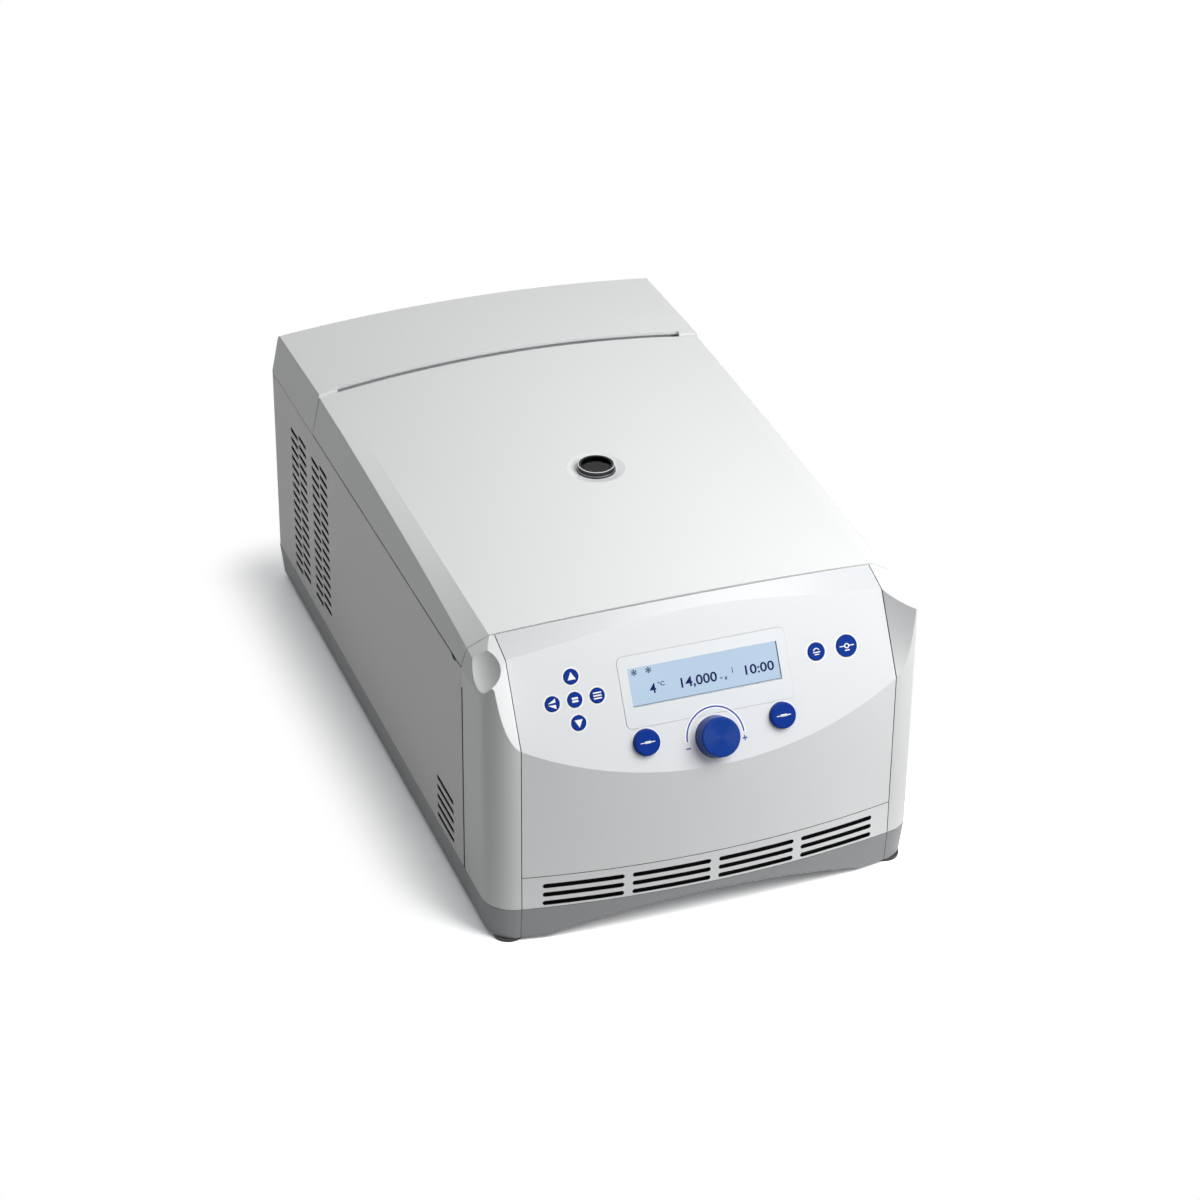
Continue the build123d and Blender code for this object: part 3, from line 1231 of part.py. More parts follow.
def compressor():
    """Sealed compressor can with its seam, shelf and terminal box."""
    top = COMPRESSOR_LOW + COMPRESSOR_HEIGHT
    can = rod(COMPRESSOR_R, COMPRESSOR_LOW, top, COMPRESSOR_X, COMPRESSOR_Y)
    can = fillet(can.edges().group_by(Axis.Z)[-1], COMPRESSOR_ROUND)
    middle = (COMPRESSOR_LOW + top) / 2
    seam = rod(COMPRESSOR_R + COMPRESSOR_SEAM, middle - COMPRESSOR_SEAM, middle + COMPRESSOR_SEAM,
               COMPRESSOR_X, COMPRESSOR_Y)
    reach = COMPRESSOR_FOOT_SPREAD + COMPRESSOR_FOOT_R
    shelf = box(COMPRESSOR_X - reach, COMPRESSOR_X + reach, COMPRESSOR_Y - reach, COMPRESSOR_Y + reach,
                COMPRESSOR_LOW - COMPRESSOR_SHELF, COMPRESSOR_LOW)
    side = COMPRESSOR_X - COMPRESSOR_R
    terminals = box(side - TERMINAL_REACH, side + TERMINAL_REACH, COMPRESSOR_Y - TERMINAL_HALF,
                    COMPRESSOR_Y + TERMINAL_HALF, middle + TERMINAL_LOW, middle + TERMINAL_HIGH)
    return can + seam + shelf + terminals


def compressor_mounts():
    """Rubber feet of the compressor."""
    c = COMPRESSOR_FOOT_SPREAD
    top = COMPRESSOR_LOW - COMPRESSOR_SHELF
    return [rod(COMPRESSOR_FOOT_R, PLATE_TOP, top, COMPRESSOR_X + sx * c, COMPRESSOR_Y + sy * c)
            for sx in (-1, 1) for sy in (-1, 1)]


def condenser_rows():
    """Heights of the condenser's tube rows, from the bottom."""
    return [CONDENSER_LOW + (i + 0.5) * CONDENSER_ROW_PITCH for i in range(CONDENSER_ROWS)]


def condenser_fins():
    """Thin plates across the condenser's tubes, with two thicker end plates that reach the base."""
    x0, x1 = CONDENSER_X - CONDENSER_THICK / 2, CONDENSER_X + CONDENSER_THICK / 2
    y0, y1 = CONDENSER_Y - CONDENSER_LENGTH / 2, CONDENSER_Y + CONDENSER_LENGTH / 2
    top = CONDENSER_LOW + CONDENSER_HEIGHT
    count = int(CONDENSER_LENGTH / CONDENSER_FIN_PITCH)
    start = (CONDENSER_LENGTH - (count - 1) * CONDENSER_FIN_PITCH) / 2
    half = CONDENSER_FIN / 2
    middles = [y0 + start + i * CONDENSER_FIN_PITCH for i in range(count)]
    fins = [box(x0, x1, y - half, y + half, CONDENSER_LOW, top) for y in middles]
    ends = [box(x0, x1, y, y + CONDENSER_FIN, PLATE_TOP, top) for y in (y0, y1 - CONDENSER_FIN)]
    tubes = [rod_y(CONDENSER_TUBE_R, y0 - 1, y1 + 1, CONDENSER_X, z) for z in condenser_rows()]
    return [plate - tubes for plate in ends + fins]


def condenser_tube():
    """One tube that runs to and fro through the fins."""
    y0, y1 = CONDENSER_Y - CONDENSER_LENGTH / 2, CONDENSER_Y + CONDENSER_LENGTH / 2
    rows = condenser_rows()
    tube = [rod_y(CONDENSER_TUBE_R, y0, y1, CONDENSER_X, z) for z in rows]
    bend_r = CONDENSER_ROW_PITCH / 2
    for i, (z0, z1) in enumerate(zip(rows, rows[1:])):
        ends_at, side = (y1, 1) if i % 2 == 0 else (y0, -1)
        ring = Pos(CONDENSER_X, ends_at, (z0 + z1) / 2) * Rot(0, 90, 0) * Torus(bend_r, CONDENSER_TUBE_R)
        keep = sorted((ends_at, ends_at + side * 2 * bend_r))
        tube.append(ring & box(-FAR, FAR, keep[0], keep[1], 0, FAR))
    return tube[0] + tube[1:]


def fan_case():
    """Square fan frame against the condenser, with struts that hold the fan's motor."""
    x0, x1 = FAN_FRONT_X, FAN_FRONT_X + FAN_CASE_DEPTH
    h = FAN_CASE / 2
    case = box(x0, x1, CONDENSER_Y - h, CONDENSER_Y + h, FAN_Z - h, FAN_Z + h)
    case -= rod_x(FAN_R + FAN_TIP_PLAY, x0 - 1, x1 + 1, CONDENSER_Y, FAN_Z)
    arms = [Pos(x1 - FAN_STRUT / 2, CONDENSER_Y, FAN_Z) * Box(FAN_STRUT, *size)
            for size in ((2 * h, FAN_STRUT), (FAN_STRUT, 2 * h))]
    legs = [box(x0, x1, y - FAN_STRUT, y + FAN_STRUT, PLATE_TOP, FAN_Z - h)
            for y in (CONDENSER_Y - h + FAN_STRUT, CONDENSER_Y + h - FAN_STRUT)]
    return (case + arms + legs) - rod_x(FAN_MOTOR_R, x0, x1 + 1, CONDENSER_Y, FAN_Z)


def fan_motor():
    """Small motor in the middle of the struts."""
    x1 = FAN_FRONT_X + FAN_CASE_DEPTH
    x0 = FAN_FRONT_X + FAN_PLAY + FAN_HUB + FAN_PLAY
    motor = rod_x(FAN_MOTOR_R, x0, x1, CONDENSER_Y, FAN_Z)
    return motor - rod_x(FAN_SHAFT_R + SHAFT_RUNNING, x0 - 1, x1 - FAN_STRUT, CONDENSER_Y, FAN_Z)


def fan():
    """Fan with pitched blades on a round hub."""
    x0 = FAN_FRONT_X + FAN_PLAY
    x1 = FAN_FRONT_X + FAN_CASE_DEPTH - FAN_STRUT
    hub = rod_x(FAN_HUB_R, x0, x0 + FAN_HUB, CONDENSER_Y, FAN_Z)
    hub += rod_x(FAN_SHAFT_R, x0 + FAN_HUB, x1 - FAN_PLAY, CONDENSER_Y, FAN_Z)
    blade = Pos(0, 0, FAN_R / 2 + FAN_HUB_R / 4) * Rot(0, 0, FAN_BLADE_PITCH)
    blade *= Box(FAN_BLADE, FAN_BLADE_WIDTH, FAN_R)
    middle = Pos(x0 + FAN_BLADE_WIDTH / 2 - FAN_BLADE_SETBACK, CONDENSER_Y, FAN_Z)
    blades = [middle * Rot(360 * i / FAN_BLADES, 0, 0) * blade for i in range(FAN_BLADES)]
    space = rod_x(FAN_R, x0, x1 - FAN_PLAY, CONDENSER_Y, FAN_Z)
    bore = rod_x(FAN_MOTOR_R + FAN_PLAY, x0 + FAN_HUB, x1, CONDENSER_Y, FAN_Z)
    return hub + [(b & space) - bore for b in blades]


def bent_pipe(*points):
    """Pipe along straight runs with equal bends."""
    path = FilletPolyline(*points, radius=PIPE_BEND)
    start = Plane(origin=path @ 0, z_dir=path % 0)
    return sweep(start * Circle(PIPE_R), path=path)


def refrigerant_pipes():
    """Pipes from compressor to condenser, from condenser through the drier to the coil, and back."""
    x, rows = CONDENSER_X, condenser_rows()
    y0, y1 = CONDENSER_Y - CONDENSER_LENGTH / 2, CONDENSER_Y + CONDENSER_LENGTH / 2
    top = COMPRESSOR_LOW + COMPRESSOR_HEIGHT
    high_y = y1 + PIPE_LEAD
    discharge = bent_pipe((COMPRESSOR_X, COMPRESSOR_Y, top), (COMPRESSOR_X, COMPRESSOR_Y, PIPE_HIGH_Z),
                          (x, COMPRESSOR_Y, PIPE_HIGH_Z), (x, high_y, PIPE_HIGH_Z), (x, high_y, rows[-1]),
                          (x, y1, rows[-1]))
    outlet = bent_pipe((x, y0, rows[0]), (x, DRIER_Y, rows[0]),
                       (DRIER_X - DRIER_LENGTH / 2, DRIER_Y, rows[0]))
    end = COIL_R + COIL_TUBE_R + PIPE_COIL_GAP
    liquid = bent_pipe((DRIER_X + DRIER_LENGTH / 2, DRIER_Y, rows[0]), (PIPE_SIDE_X, DRIER_Y, rows[0]),
                       (PIPE_SIDE_X, CHAMBER_Y, rows[0]), (PIPE_SIDE_X, CHAMBER_Y, COIL_Z),
                       (end, CHAMBER_Y, COIL_Z))
    low_z = COMPRESSOR_LOW + COMPRESSOR_HEIGHT * SUCTION_SHARE
    suction = bent_pipe((end, CHAMBER_Y, COIL_END_Z), (PIPE_SIDE_X, CHAMBER_Y, COIL_END_Z),
                        (PIPE_SIDE_X, COMPRESSOR_Y, COIL_END_Z), (PIPE_SIDE_X, COMPRESSOR_Y, low_z),
                        (COMPRESSOR_X + COMPRESSOR_R, COMPRESSOR_Y, low_z))
    return [discharge, outlet, liquid, suction]


def filter_drier():
    """Filter drier in the liquid pipe."""
    half = DRIER_LENGTH / 2
    z = condenser_rows()[0]
    body = rod_x(DRIER_R, DRIER_X - half + DRIER_END, DRIER_X + half - DRIER_END, DRIER_Y, z)
    body = fillet(body.edges().filter_by(GeomType.CIRCLE), DRIER_ROUND)
    return body + rod_x(PIPE_R + DRIER_NECK, DRIER_X - half, DRIER_X + half, DRIER_Y, z)


def power_supply():
    """Power supply box on four feet, with air slots in its lid."""
    low = PLATE_TOP + SUPPLY_FEET
    w, d = SUPPLY_WIDTH / 2, SUPPLY_DEPTH / 2
    unit = box(-w, w, SUPPLY_Y - d, SUPPLY_Y + d, low, low + SUPPLY_HEIGHT)
    first = -(SUPPLY_SLOTS - 1) / 2 * SUPPLY_SLOT_PITCH
    places = [(SUPPLY_Y, first + i * SUPPLY_SLOT_PITCH) for i in range(SUPPLY_SLOTS)]
    top = Plane(origin=(0, 0, low + SUPPLY_HEIGHT), x_dir=(0, 1, 0), z_dir=(0, 0, 1))
    unit -= slots(top, [(y, -x) for y, x in places], SUPPLY_DEPTH * 0.7, VENT_SLOT, SUPPLY_SLOT_DEPTH)
    for sx in (-1, 1):
        for sy in (-1, 1):
            unit += rod(4, PLATE_TOP, low, sx * (w - 10), SUPPLY_Y + sy * (d - 10))
    return unit


def key_places():
    """Each key on the panel: name, X, S, radius, how far it stands out, and its travel."""
    nav = [("key_up", 0, 1), ("key_down", 0, -1), ("key_left", -1, 0), ("key_right", 1, 0),
           ("key_menu", 0, 0)]
    keys = [(name, NAV_X + dx * NAV_STEP_X, NAV_S + ds * NAV_STEP_S, NAV_KEY_R, KEY_RAISE, KEY_TRAVEL)
            for name, dx, ds in nav]
    keys.append(("key_short", SMALL_KEY_X, RIGHT_KEYS_S, SMALL_KEY_R, KEY_RAISE, KEY_TRAVEL))
    keys.append(("key_open", LARGE_KEY_X, RIGHT_KEYS_S, LARGE_KEY_R, KEY_RAISE, KEY_TRAVEL))
    keys.append(("button_left", -BUTTON_X, BUTTON_S, BUTTON_R, BUTTON_RAISE, BUTTON_TRAVEL))
    keys.append(("button_right", BUTTON_X, BUTTON_S, BUTTON_R, BUTTON_RAISE, BUTTON_TRAVEL))
    return keys


def key(x, s, r, rise, travel):
    """Round key with a flange behind the panel and a plunger over its switch."""
    skirt_top = -WALL - KEY_SKIRT_GAP
    cap = rod(r, skirt_top - KEY_SKIRT, rise)
    cap = fillet(cap.edges().group_by(Axis.Z)[-1], KEY_ROUND if rise < BUTTON_RAISE else BUTTON_ROUND)
    cap += rod(r + KEY_SKIRT, skirt_top - KEY_SKIRT, skirt_top)
    cap += rod(KEY_PLUNGER_R, SWITCH_TOP_Z + travel + KEY_STOP_GAP, 0)
    return on_panel(x, s) * cap


def key_switches():
    """Push switches on the board, one behind each key."""
    h = KEY_SWITCH / 2
    switch = box(-h, h, -h, h, BOARD_Z, SWITCH_TOP_Z)
    return [on_panel(x, s) * switch for name, x, s, r, rise, travel in key_places()]


def control_knob():
    """Large knob with a stem that runs in the encoder."""
    body = Pos(0, 0, KNOB_CLEAR + KNOB_HEIGHT / 2) * Cone(KNOB_R, KNOB_R - KNOB_DRAFT, KNOB_HEIGHT)
    body = fillet(body.edges().group_by(Axis.Z)[-1], KNOB_ROUND)
    stem = rod(KNOB_STEM_R, BOARD_Z + ENCODER_HEIGHT - ENCODER_DEPTH + KEY_STOP_GAP, KNOB_CLEAR + 1)
    return on_panel(0, KNOB_S) * (body + stem)


def encoder():
    """Rotary encoder on the board."""
    h = ENCODER_SIZE / 2
    body = box(-h, h, -h, h, BOARD_Z, BOARD_Z + ENCODER_HEIGHT)
    body -= rod(KNOB_STEM_R + ENCODER_RUNNING, BOARD_Z + ENCODER_HEIGHT - ENCODER_DEPTH, FAR)
    return on_panel(0, KNOB_S) * body


def control_board():
    """Circuit board behind the panel, on four posts."""
    low = BOARD_Z - BOARD_SHEET
    board = box(-BOARD_HALF, BOARD_HALF, BOARD_LOW_S, BOARD_HIGH_S, low, BOARD_Z)
    board += box(-BOARD_TONGUE_HALF, BOARD_TONGUE_HALF, BOARD_TONGUE_S, BOARD_LOW_S, low, BOARD_Z)
    return on_panel(0, 0) * board


def plate_with_corners(width, height, low_s, z0, z1, corner):
    """Rounded plate on the panel, centred across it."""
    plate = box(-width / 2, width / 2, low_s, low_s + height, z0, z1)
    return fillet(plate.edges().filter_by(Axis.Z), corner)


def display_window():
    """Clear window plate over the display, set in a shallow recess."""
    low = BEZEL_RAISE - BEZEL_DEPTH
    plate = plate_with_corners(BEZEL_WIDTH, BEZEL_HEIGHT, BEZEL_LOW_S, low, BEZEL_RAISE, BEZEL_CORNER)
    return on_panel(0, 0) * plate


def display_module():
    """Display behind the window, with a box that reaches back to the board."""
    top = BEZEL_RAISE - BEZEL_DEPTH
    h = SCREEN_WIDTH / 2 - BEZEL_FIT
    low_s, high_s = SCREEN_LOW_S + BEZEL_FIT, SCREEN_LOW_S + SCREEN_HEIGHT - BEZEL_FIT
    return on_panel(0, 0) * box(-h, h, low_s, high_s, BOARD_Z, top)


def front_panel(shell):
    """Control panel and the smooth front below it, in one moulding."""
    half = PANEL_HALF - SEAM_GAP / 2
    panel = shell & box(-half, half, -FAR, FAR, GRILLE_TOP + SEAM_GAP / 2, FAR)
    fit = 2 * BEZEL_FIT
    cuts = plate_with_corners(BEZEL_WIDTH + fit, BEZEL_HEIGHT + fit, BEZEL_LOW_S - BEZEL_FIT,
                              BEZEL_RAISE - BEZEL_DEPTH, 20, BEZEL_CORNER)
    cuts += box(-SCREEN_WIDTH / 2, SCREEN_WIDTH / 2, SCREEN_LOW_S, SCREEN_LOW_S + SCREEN_HEIGHT, -20, 20)
    cuts += rod(KNOB_STEM_R + KNOB_STEM_PLAY, -20, 20, 0, KNOB_S)
    for name, x, s, r, rise, travel in key_places():
        cuts += rod(r + KEY_PLAY, -WALL - 3, 20, x, s)
    panel -= on_panel(0, 0) * cuts
    for x in (-POST_X, POST_X):
        for s in (POST_LOW_S, POST_HIGH_S):
            panel += on_panel(x, s) * rod(POST_R, BOARD_Z, -WALL / 2)
    return panel


def front_grille(shell):
    """Band with four groups of three air slots."""
    half = PANEL_HALF - SEAM_GAP / 2
    band = shell & box(-half, half, -FAR, FAR, 0, GRILLE_TOP - SEAM_GAP / 2)
    length = (2 * GRILLE_HALF - (GRILLE_GROUPS - 1) * GRILLE_RIB) / GRILLE_GROUPS
    first = -GRILLE_HALF + length / 2
    places = [(first + g * (length + GRILLE_RIB), GRILLE_FIRST_Z + row * GRILLE_PITCH)
              for g in range(GRILLE_GROUPS) for row in range(GRILLE_ROWS)]
    return band - slots(Plane.XZ.offset(-NOSE_Y), places, length, GRILLE_SLOT, 2 * FRONT_SEAM_SETBACK)


def corner_cover(shell):
    """Right front corner, with the finger scoop under the lid's corner."""
    return shell & box(PANEL_HALF + SEAM_GAP / 2, FAR, -FAR, FAR, 0, FAR)


shell = front_shell()
corner = corner_cover(shell)
side = side_panel()
housing = {
    "base_tray": [base_tray()], "rubber_feet": rubber_feet(), "right_side_panel": [side],
    "left_side_panel": [mirror_x(side)], "rear_panel": [rear_panel()], "rear_cover": [rear_cover()],
    "right_corner_cover": [corner], "left_corner_cover": [mirror_x(corner)],
    "front_panel": [front_panel(shell)], "front_vent_grille": [front_grille(shell)],
    "power_entry": [mains_inlet(), switch_housing()], "switch_rocker": [switch_rocker()],
    "screws": rear_screws() + motor_bolts(),
}
controls = {
    "display_window": [display_window()], "display_module": [display_module()],
    "control_board": [control_board(), encoder()] + key_switches(), "control_knob": [control_knob()],
}
for name, x, s, r, rise, travel in key_places():
    controls[name] = [key(x, s, r, rise, travel)]
chamber = {
    "chamber_deck": [chamber_deck()], "deck_pillars": deck_pillars(), "chamber_bowl": [bowl()],
    "chamber_gasket": [gasket()], "chamber_insulation": [insulation()], "evaporator_coil": [evaporator()],
    "shaft_seal": [shaft_seal()], "rotor": [rotor()], "rotor_nut": [rotor_nut()],
    "motor_shaft": [motor_shaft(), motor_core()], "motor_stator": [motor_stator()],
    "motor_housing": [motor_housing()], "motor_bearings": motor_bearings(), "motor_plate": [motor_plate()],
    "rubber_mounts": motor_mounts() + compressor_mounts(),
}
lid = {
    "lid_shell": [lid_shell()], "lid_liner": [lid_liner()], "lid_strikers": strikers(),
    "sight_glass_ring": [sight_ring()], "sight_glass_panes": sight_panes(), "hinge_arms": hinge_arms(),
    "hinge_brackets": hinge_brackets(), "hinge_pins": hinge_pins(), "hinge_wall": [hinge_wall()],
    "latch_slider": [latch_slider()], "latch_base": latch_guides() + [latch_solenoid()],
}
cooling = {
    "compressor": [compressor()], "condenser": condenser_fins() + [condenser_tube()],
    "fan_case": [fan_case()],
    "fan_motor": [fan_motor()], "condenser_fan": [fan()], "filter_drier": [filter_drier()],
    "refrigerant_pipes": refrigerant_pipes(), "power_supply": [power_supply()],
}
knob_front = controls["control_knob"][0].bounding_box().min.Y
to_middle = Pos(0, -(knob_front + REAR_Y) / 2, 0)
for group in (housing, controls, chamber, lid, cooling):
    for name, pieces in group.items():
        save(name, to_middle, pieces)
print(f"origin moved by {to_middle.position.Y:.4f} mm")
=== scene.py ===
# %% [markdown]
# # A refrigerated bench centrifuge, dressed for its picture
# The solids come from CAD as a fixed frame: housing, lid, rotor, refrigeration and controls.
# This script adds what a solid can't hold: the finish of each surface, the printed marks
# on the control panel, the picture on the display, and the light and camera.

# %% Load the frame
import json
import math

import bmesh
import bpy
from mathutils import Matrix, Vector


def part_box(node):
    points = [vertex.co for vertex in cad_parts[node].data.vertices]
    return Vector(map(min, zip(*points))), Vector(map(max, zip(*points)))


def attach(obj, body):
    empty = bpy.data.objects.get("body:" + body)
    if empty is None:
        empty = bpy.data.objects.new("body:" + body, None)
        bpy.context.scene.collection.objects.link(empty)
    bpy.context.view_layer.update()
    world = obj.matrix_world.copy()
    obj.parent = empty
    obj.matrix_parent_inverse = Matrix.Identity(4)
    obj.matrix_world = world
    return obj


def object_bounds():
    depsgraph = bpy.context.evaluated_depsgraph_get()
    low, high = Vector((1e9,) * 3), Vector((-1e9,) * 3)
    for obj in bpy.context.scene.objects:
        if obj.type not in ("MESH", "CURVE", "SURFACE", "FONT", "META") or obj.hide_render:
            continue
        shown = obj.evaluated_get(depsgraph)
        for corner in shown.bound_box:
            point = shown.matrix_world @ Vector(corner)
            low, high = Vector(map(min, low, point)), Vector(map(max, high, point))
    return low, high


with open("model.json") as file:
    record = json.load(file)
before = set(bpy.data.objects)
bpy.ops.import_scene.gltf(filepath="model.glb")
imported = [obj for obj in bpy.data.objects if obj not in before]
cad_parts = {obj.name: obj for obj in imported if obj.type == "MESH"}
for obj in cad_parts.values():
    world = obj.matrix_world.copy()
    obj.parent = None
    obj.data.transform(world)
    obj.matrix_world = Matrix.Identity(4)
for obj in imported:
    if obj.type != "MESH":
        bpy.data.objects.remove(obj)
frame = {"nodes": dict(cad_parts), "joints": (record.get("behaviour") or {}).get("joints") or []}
nodes = frame["nodes"]
joints = {joint["name"]: joint for joint in frame["joints"]}
cad_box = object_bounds()
MM = 0.001


def points_of(node):
    """The points of a CAD piece, in metres."""
    return [v.co for v in nodes[node].data.vertices]


def corners(points):
    """The lowest and the highest corner of some points."""
    low = Vector([min(p[i] for p in points) for i in range(3)])
    high = Vector([max(p[i] for p in points) for i in range(3)])
    return low, high


print("pieces from CAD:", len(nodes), "box", cad_box)

# %% [markdown]
# ## Colours and nodes
# A paint chart gives colours as screen values, but Cycles reckons in linear light, so each
# hex value goes through one function. Nodes are added by one small function that takes the
# settings of a node and what feeds each of its inputs: either a plain value or another output.
# Patterns are laid out in the object's own coordinates. Every mesh has its place in its
# vertices, so these are metres in the real object, and a pattern's scale is a real size.
# Only two faint ones, in the window's print and in the floor's paper, count over the piece's
# box instead.

# %% One function for colours, one for nodes


def linear(hex_colour):
    """The linear RGBA value of an sRGB hex colour."""
    channels = [int(hex_colour[i:i + 2], 16) / 255 for i in (1, 3, 5)]
    return [c / 12.92 if c <= 0.04045 else ((c + 0.055) / 1.055) ** 2.4 for c in channels] + [1.0]


def add(material, kind, inputs=None, **settings):
    """Adds one shader node to a material or world; inputs take a value or a node's output."""
    tree = material.node_tree
    node = tree.nodes.new("ShaderNode" + kind)
    for name, value in settings.items():
        setattr(node, name, value)
    for socket, value in (inputs or {}).items():
        if isinstance(value, bpy.types.NodeSocket):
            tree.links.new(value, node.inputs[socket])
        else:
            node.inputs[socket].default_value = value
    return node


def empty_material(name):
    """A material with only its output node, and that node."""
    material = bpy.data.materials.new(name)
    material.use_nodes = True
    material.node_tree.nodes.clear()
    return material, add(material, "OutputMaterial")


def per_metre(millimetres):
    """A texture's scale for a pattern whose features are this far apart."""
    return 1.0 / (millimetres * MM)


# %% [markdown]
# ## A common recipe for plain finishes
# Most surfaces here are one colour with a fine relief: moulded plastic has the texture of its
# mould, powder coat has orange peel, and metal has the marks of how it was cut. They share
# one recipe: a slow drift in tone as wide as a hand, a fine grain that moves the roughness,
# and a bump of the same grain at its real depth. What differs is colour, sizes and direction:
# a stretch of more than 1 along an axis makes the grain run as brushing lines along it.
#
# Little light gets into an air slot or a seam, which is what makes these read as black lines.
# That shade is painted: the recipe takes optional patches, a test that tells whether a point
# lies in a slot, a seam or another place, and the colour painted there.

# %% The recipe for grained finishes
# Near black, painted as shade in slots and seams.
PAINTED_GAP_SHADE = "#0C0D0E"
HAND_WIDTH = 90
NOISE_LOW, NOISE_HIGH = 0.3, 0.7
SHINE_SWING = 0.12


def grained(name, colour, roughness, grain_mm, depth_mm, drift=0.02, stretch=(1, 1, 1), rounded_mm=0,
            patches=(), **shader):
    """A material with drifting tone, grained roughness and a bump of the same grain."""
    material, output = empty_material(name)
    where = add(material, "TexCoord").outputs["Object"]
    squeeze = [1.0 / s for s in stretch]
    along = add(material, "Mapping", {"Vector": where, "Scale": squeeze}).outputs["Vector"]
    grain = add(material, "TexNoise", {"Vector": along, "Scale": per_metre(grain_mm), "Detail": 3.0})
    cloud = add(material, "TexNoise", {"Vector": where, "Scale": per_metre(HAND_WIDTH), "Detail": 2.0})
    base = linear(colour)
    darker = [c * (1 - 2 * drift) for c in base[:3]] + [1.0]
    tone = add(material, "Mix", {"Factor": cloud.outputs["Fac"], 6: darker, 7: base}, data_type="RGBA")
    for test, patch_colour in patches:
        tone = add(material, "Mix", {"Factor": test(material, where), 6: tone.outputs[2],
                                     7: linear(patch_colour)}, data_type="RGBA")
    shine = add(material, "MapRange", {"Value": grain.outputs["Fac"],
                                       "From Min": NOISE_LOW, "From Max": NOISE_HIGH,
                                       "To Min": roughness * (1 - SHINE_SWING),
                                       "To Max": roughness * (1 + SHINE_SWING)})
    bump = add(material, "Bump", {"Height": grain.outputs["Fac"], "Distance": depth_mm * MM})
    if rounded_mm:
        edge = add(material, "Bevel", {"Radius": rounded_mm * MM}, samples=4)
        material.node_tree.links.new(edge.outputs["Normal"], bump.inputs["Normal"])
    body = add(material, "BsdfPrincipled", {"Base Color": tone.outputs[2], "Roughness": shine.outputs[0],
                                            "Normal": bump.outputs[0], **shader})
    material.node_tree.links.new(body.outputs[0], output.inputs["Surface"])
    return material


# %% [markdown]
# ## Where shade is painted
# Each test gives 1 or 0 for a point on a piece. In slots and seams and on the base's joint
# lines, near black is painted as shade. The places are measured on the CAD pieces: a wall that
# bows forward is part of a circle, and its middle and radius follow from its foremost point and
# its ends. Two more tests find the sloping control panel and the crest above it, which face up
# into the key lamp; their greyer tones are painted shade.

# %% Tests for slots, seams, slope and crest
# Painted shade starts this deep in a side slot, and runs this wide along the lid's seam.
SLOT_SHADE_INSET = 0.4 * MM
SEAM_SHADE_WIDTH = 0.9 * MM
HAIR_MARGIN = 0.05 * MM
SLOPE_UP, CREST_UP, SLOT_WALL = 0.3, 0.65, -0.5


def farther_out(material, where, limit, operation="GREATER_THAN"):
    """Tests how far a point is from the middle plane between left and right."""
    across = add(material, "SeparateXYZ", {0: where}).outputs["X"]
    side = add(material, "Math", {0: across}, operation="ABSOLUTE").outputs[0]
    return add(material, "Math", {0: side, 1: limit}, operation=operation).outputs[0]


def behind_bow(material, where, middle_y, radius):
    """Tests whether a point is nearer to an upright axis than the wall that bows round it."""
    flat = add(material, "VectorMath", {0: where, 1: (1, 1, 0)}, operation="MULTIPLY").outputs[0]
    reach = add(material, "VectorMath", {0: flat, 1: (0, middle_y, 0)}, operation="DISTANCE")
    return add(material, "Math", {0: reach.outputs["Value"], 1: radius}, operation="LESS_THAN").outputs[0]


def either(material, first, second):
    """Joins two tests."""
    return add(material, "Math", {0: first, 1: second}, operation="MAXIMUM").outputs[0]


def bow_axis(points, end_half, end_y):
    """Middle and radius of a wall that bows forward, from its foremost point and its ends."""
    nose = min(p.y for p in points)
    bow = end_y - nose
    radius = (end_half ** 2 + bow ** 2) / (2 * bow)
    return nose + radius, radius


LID_BOW, LID_CORNER, SEAM = 12.0 * MM, 168.0 * MM, 0.6 * MM
grille_points = points_of("front_vent_grille")
grille_half = max(p.x for p in grille_points)
grille_end_y = min(p.y for p in grille_points if p.x > grille_half - MM)
grille_axis = bow_axis(grille_points, grille_half, grille_end_y)
lid_points = points_of("lid_shell")
lid_axis = bow_axis(lid_points, LID_CORNER, min(p.y for p in lid_points) + LID_BOW)
wall_half = max(p.x for p in points_of("right_side_panel"))
front_half = max(p.x for p in points_of("front_panel"))
base_joint_y = max(p.y for p in points_of("front_panel"))
print("bows, middle and radius:", [tuple(round(v, 3) for v in axis) for axis in (grille_axis, lid_axis)])


def in_side_slot(material, where):
    """Inside a side wall's thickness, where shade is painted in the slots."""
    return farther_out(material, where, wall_half - SLOT_SHADE_INSET, "LESS_THAN")


def in_front_seam(material, where):
    """Painted shade on the front moulding's ends and in a strip along its rear edge by the lid."""
    ends = farther_out(material, where, front_half - HAIR_MARGIN)
    return either(material, ends, behind_bow(material, where, lid_axis[0], lid_axis[1] + SEAM + SEAM_SHADE_WIDTH))


def facing(material, axis, least):
    """Where the surface's normal has more than a least share along an axis of the object."""
    normal = add(material, "TexCoord").outputs["Normal"]
    share = add(material, "SeparateXYZ", {0: normal}).outputs[axis]
    return add(material, "Math", {0: share, 1: least}, operation="GREATER_THAN").outputs[0]


def in_front_slot(material, where):
    """Painted shade on the walls of the grille's slots and on its ends, which don't face forward."""
    return facing(material, "Y", SLOT_WALL)


def on_slope(material, where):
    """On the sloping control panel, which faces up as well as forward; its greyer tone is painted shade."""
    return facing(material, "Z", SLOPE_UP)


def on_crest(material, where):
    """On the rounded crest between the sloping panel and the lid; its greyer tone is painted shade."""
    return facing(material, "Z", CREST_UP)


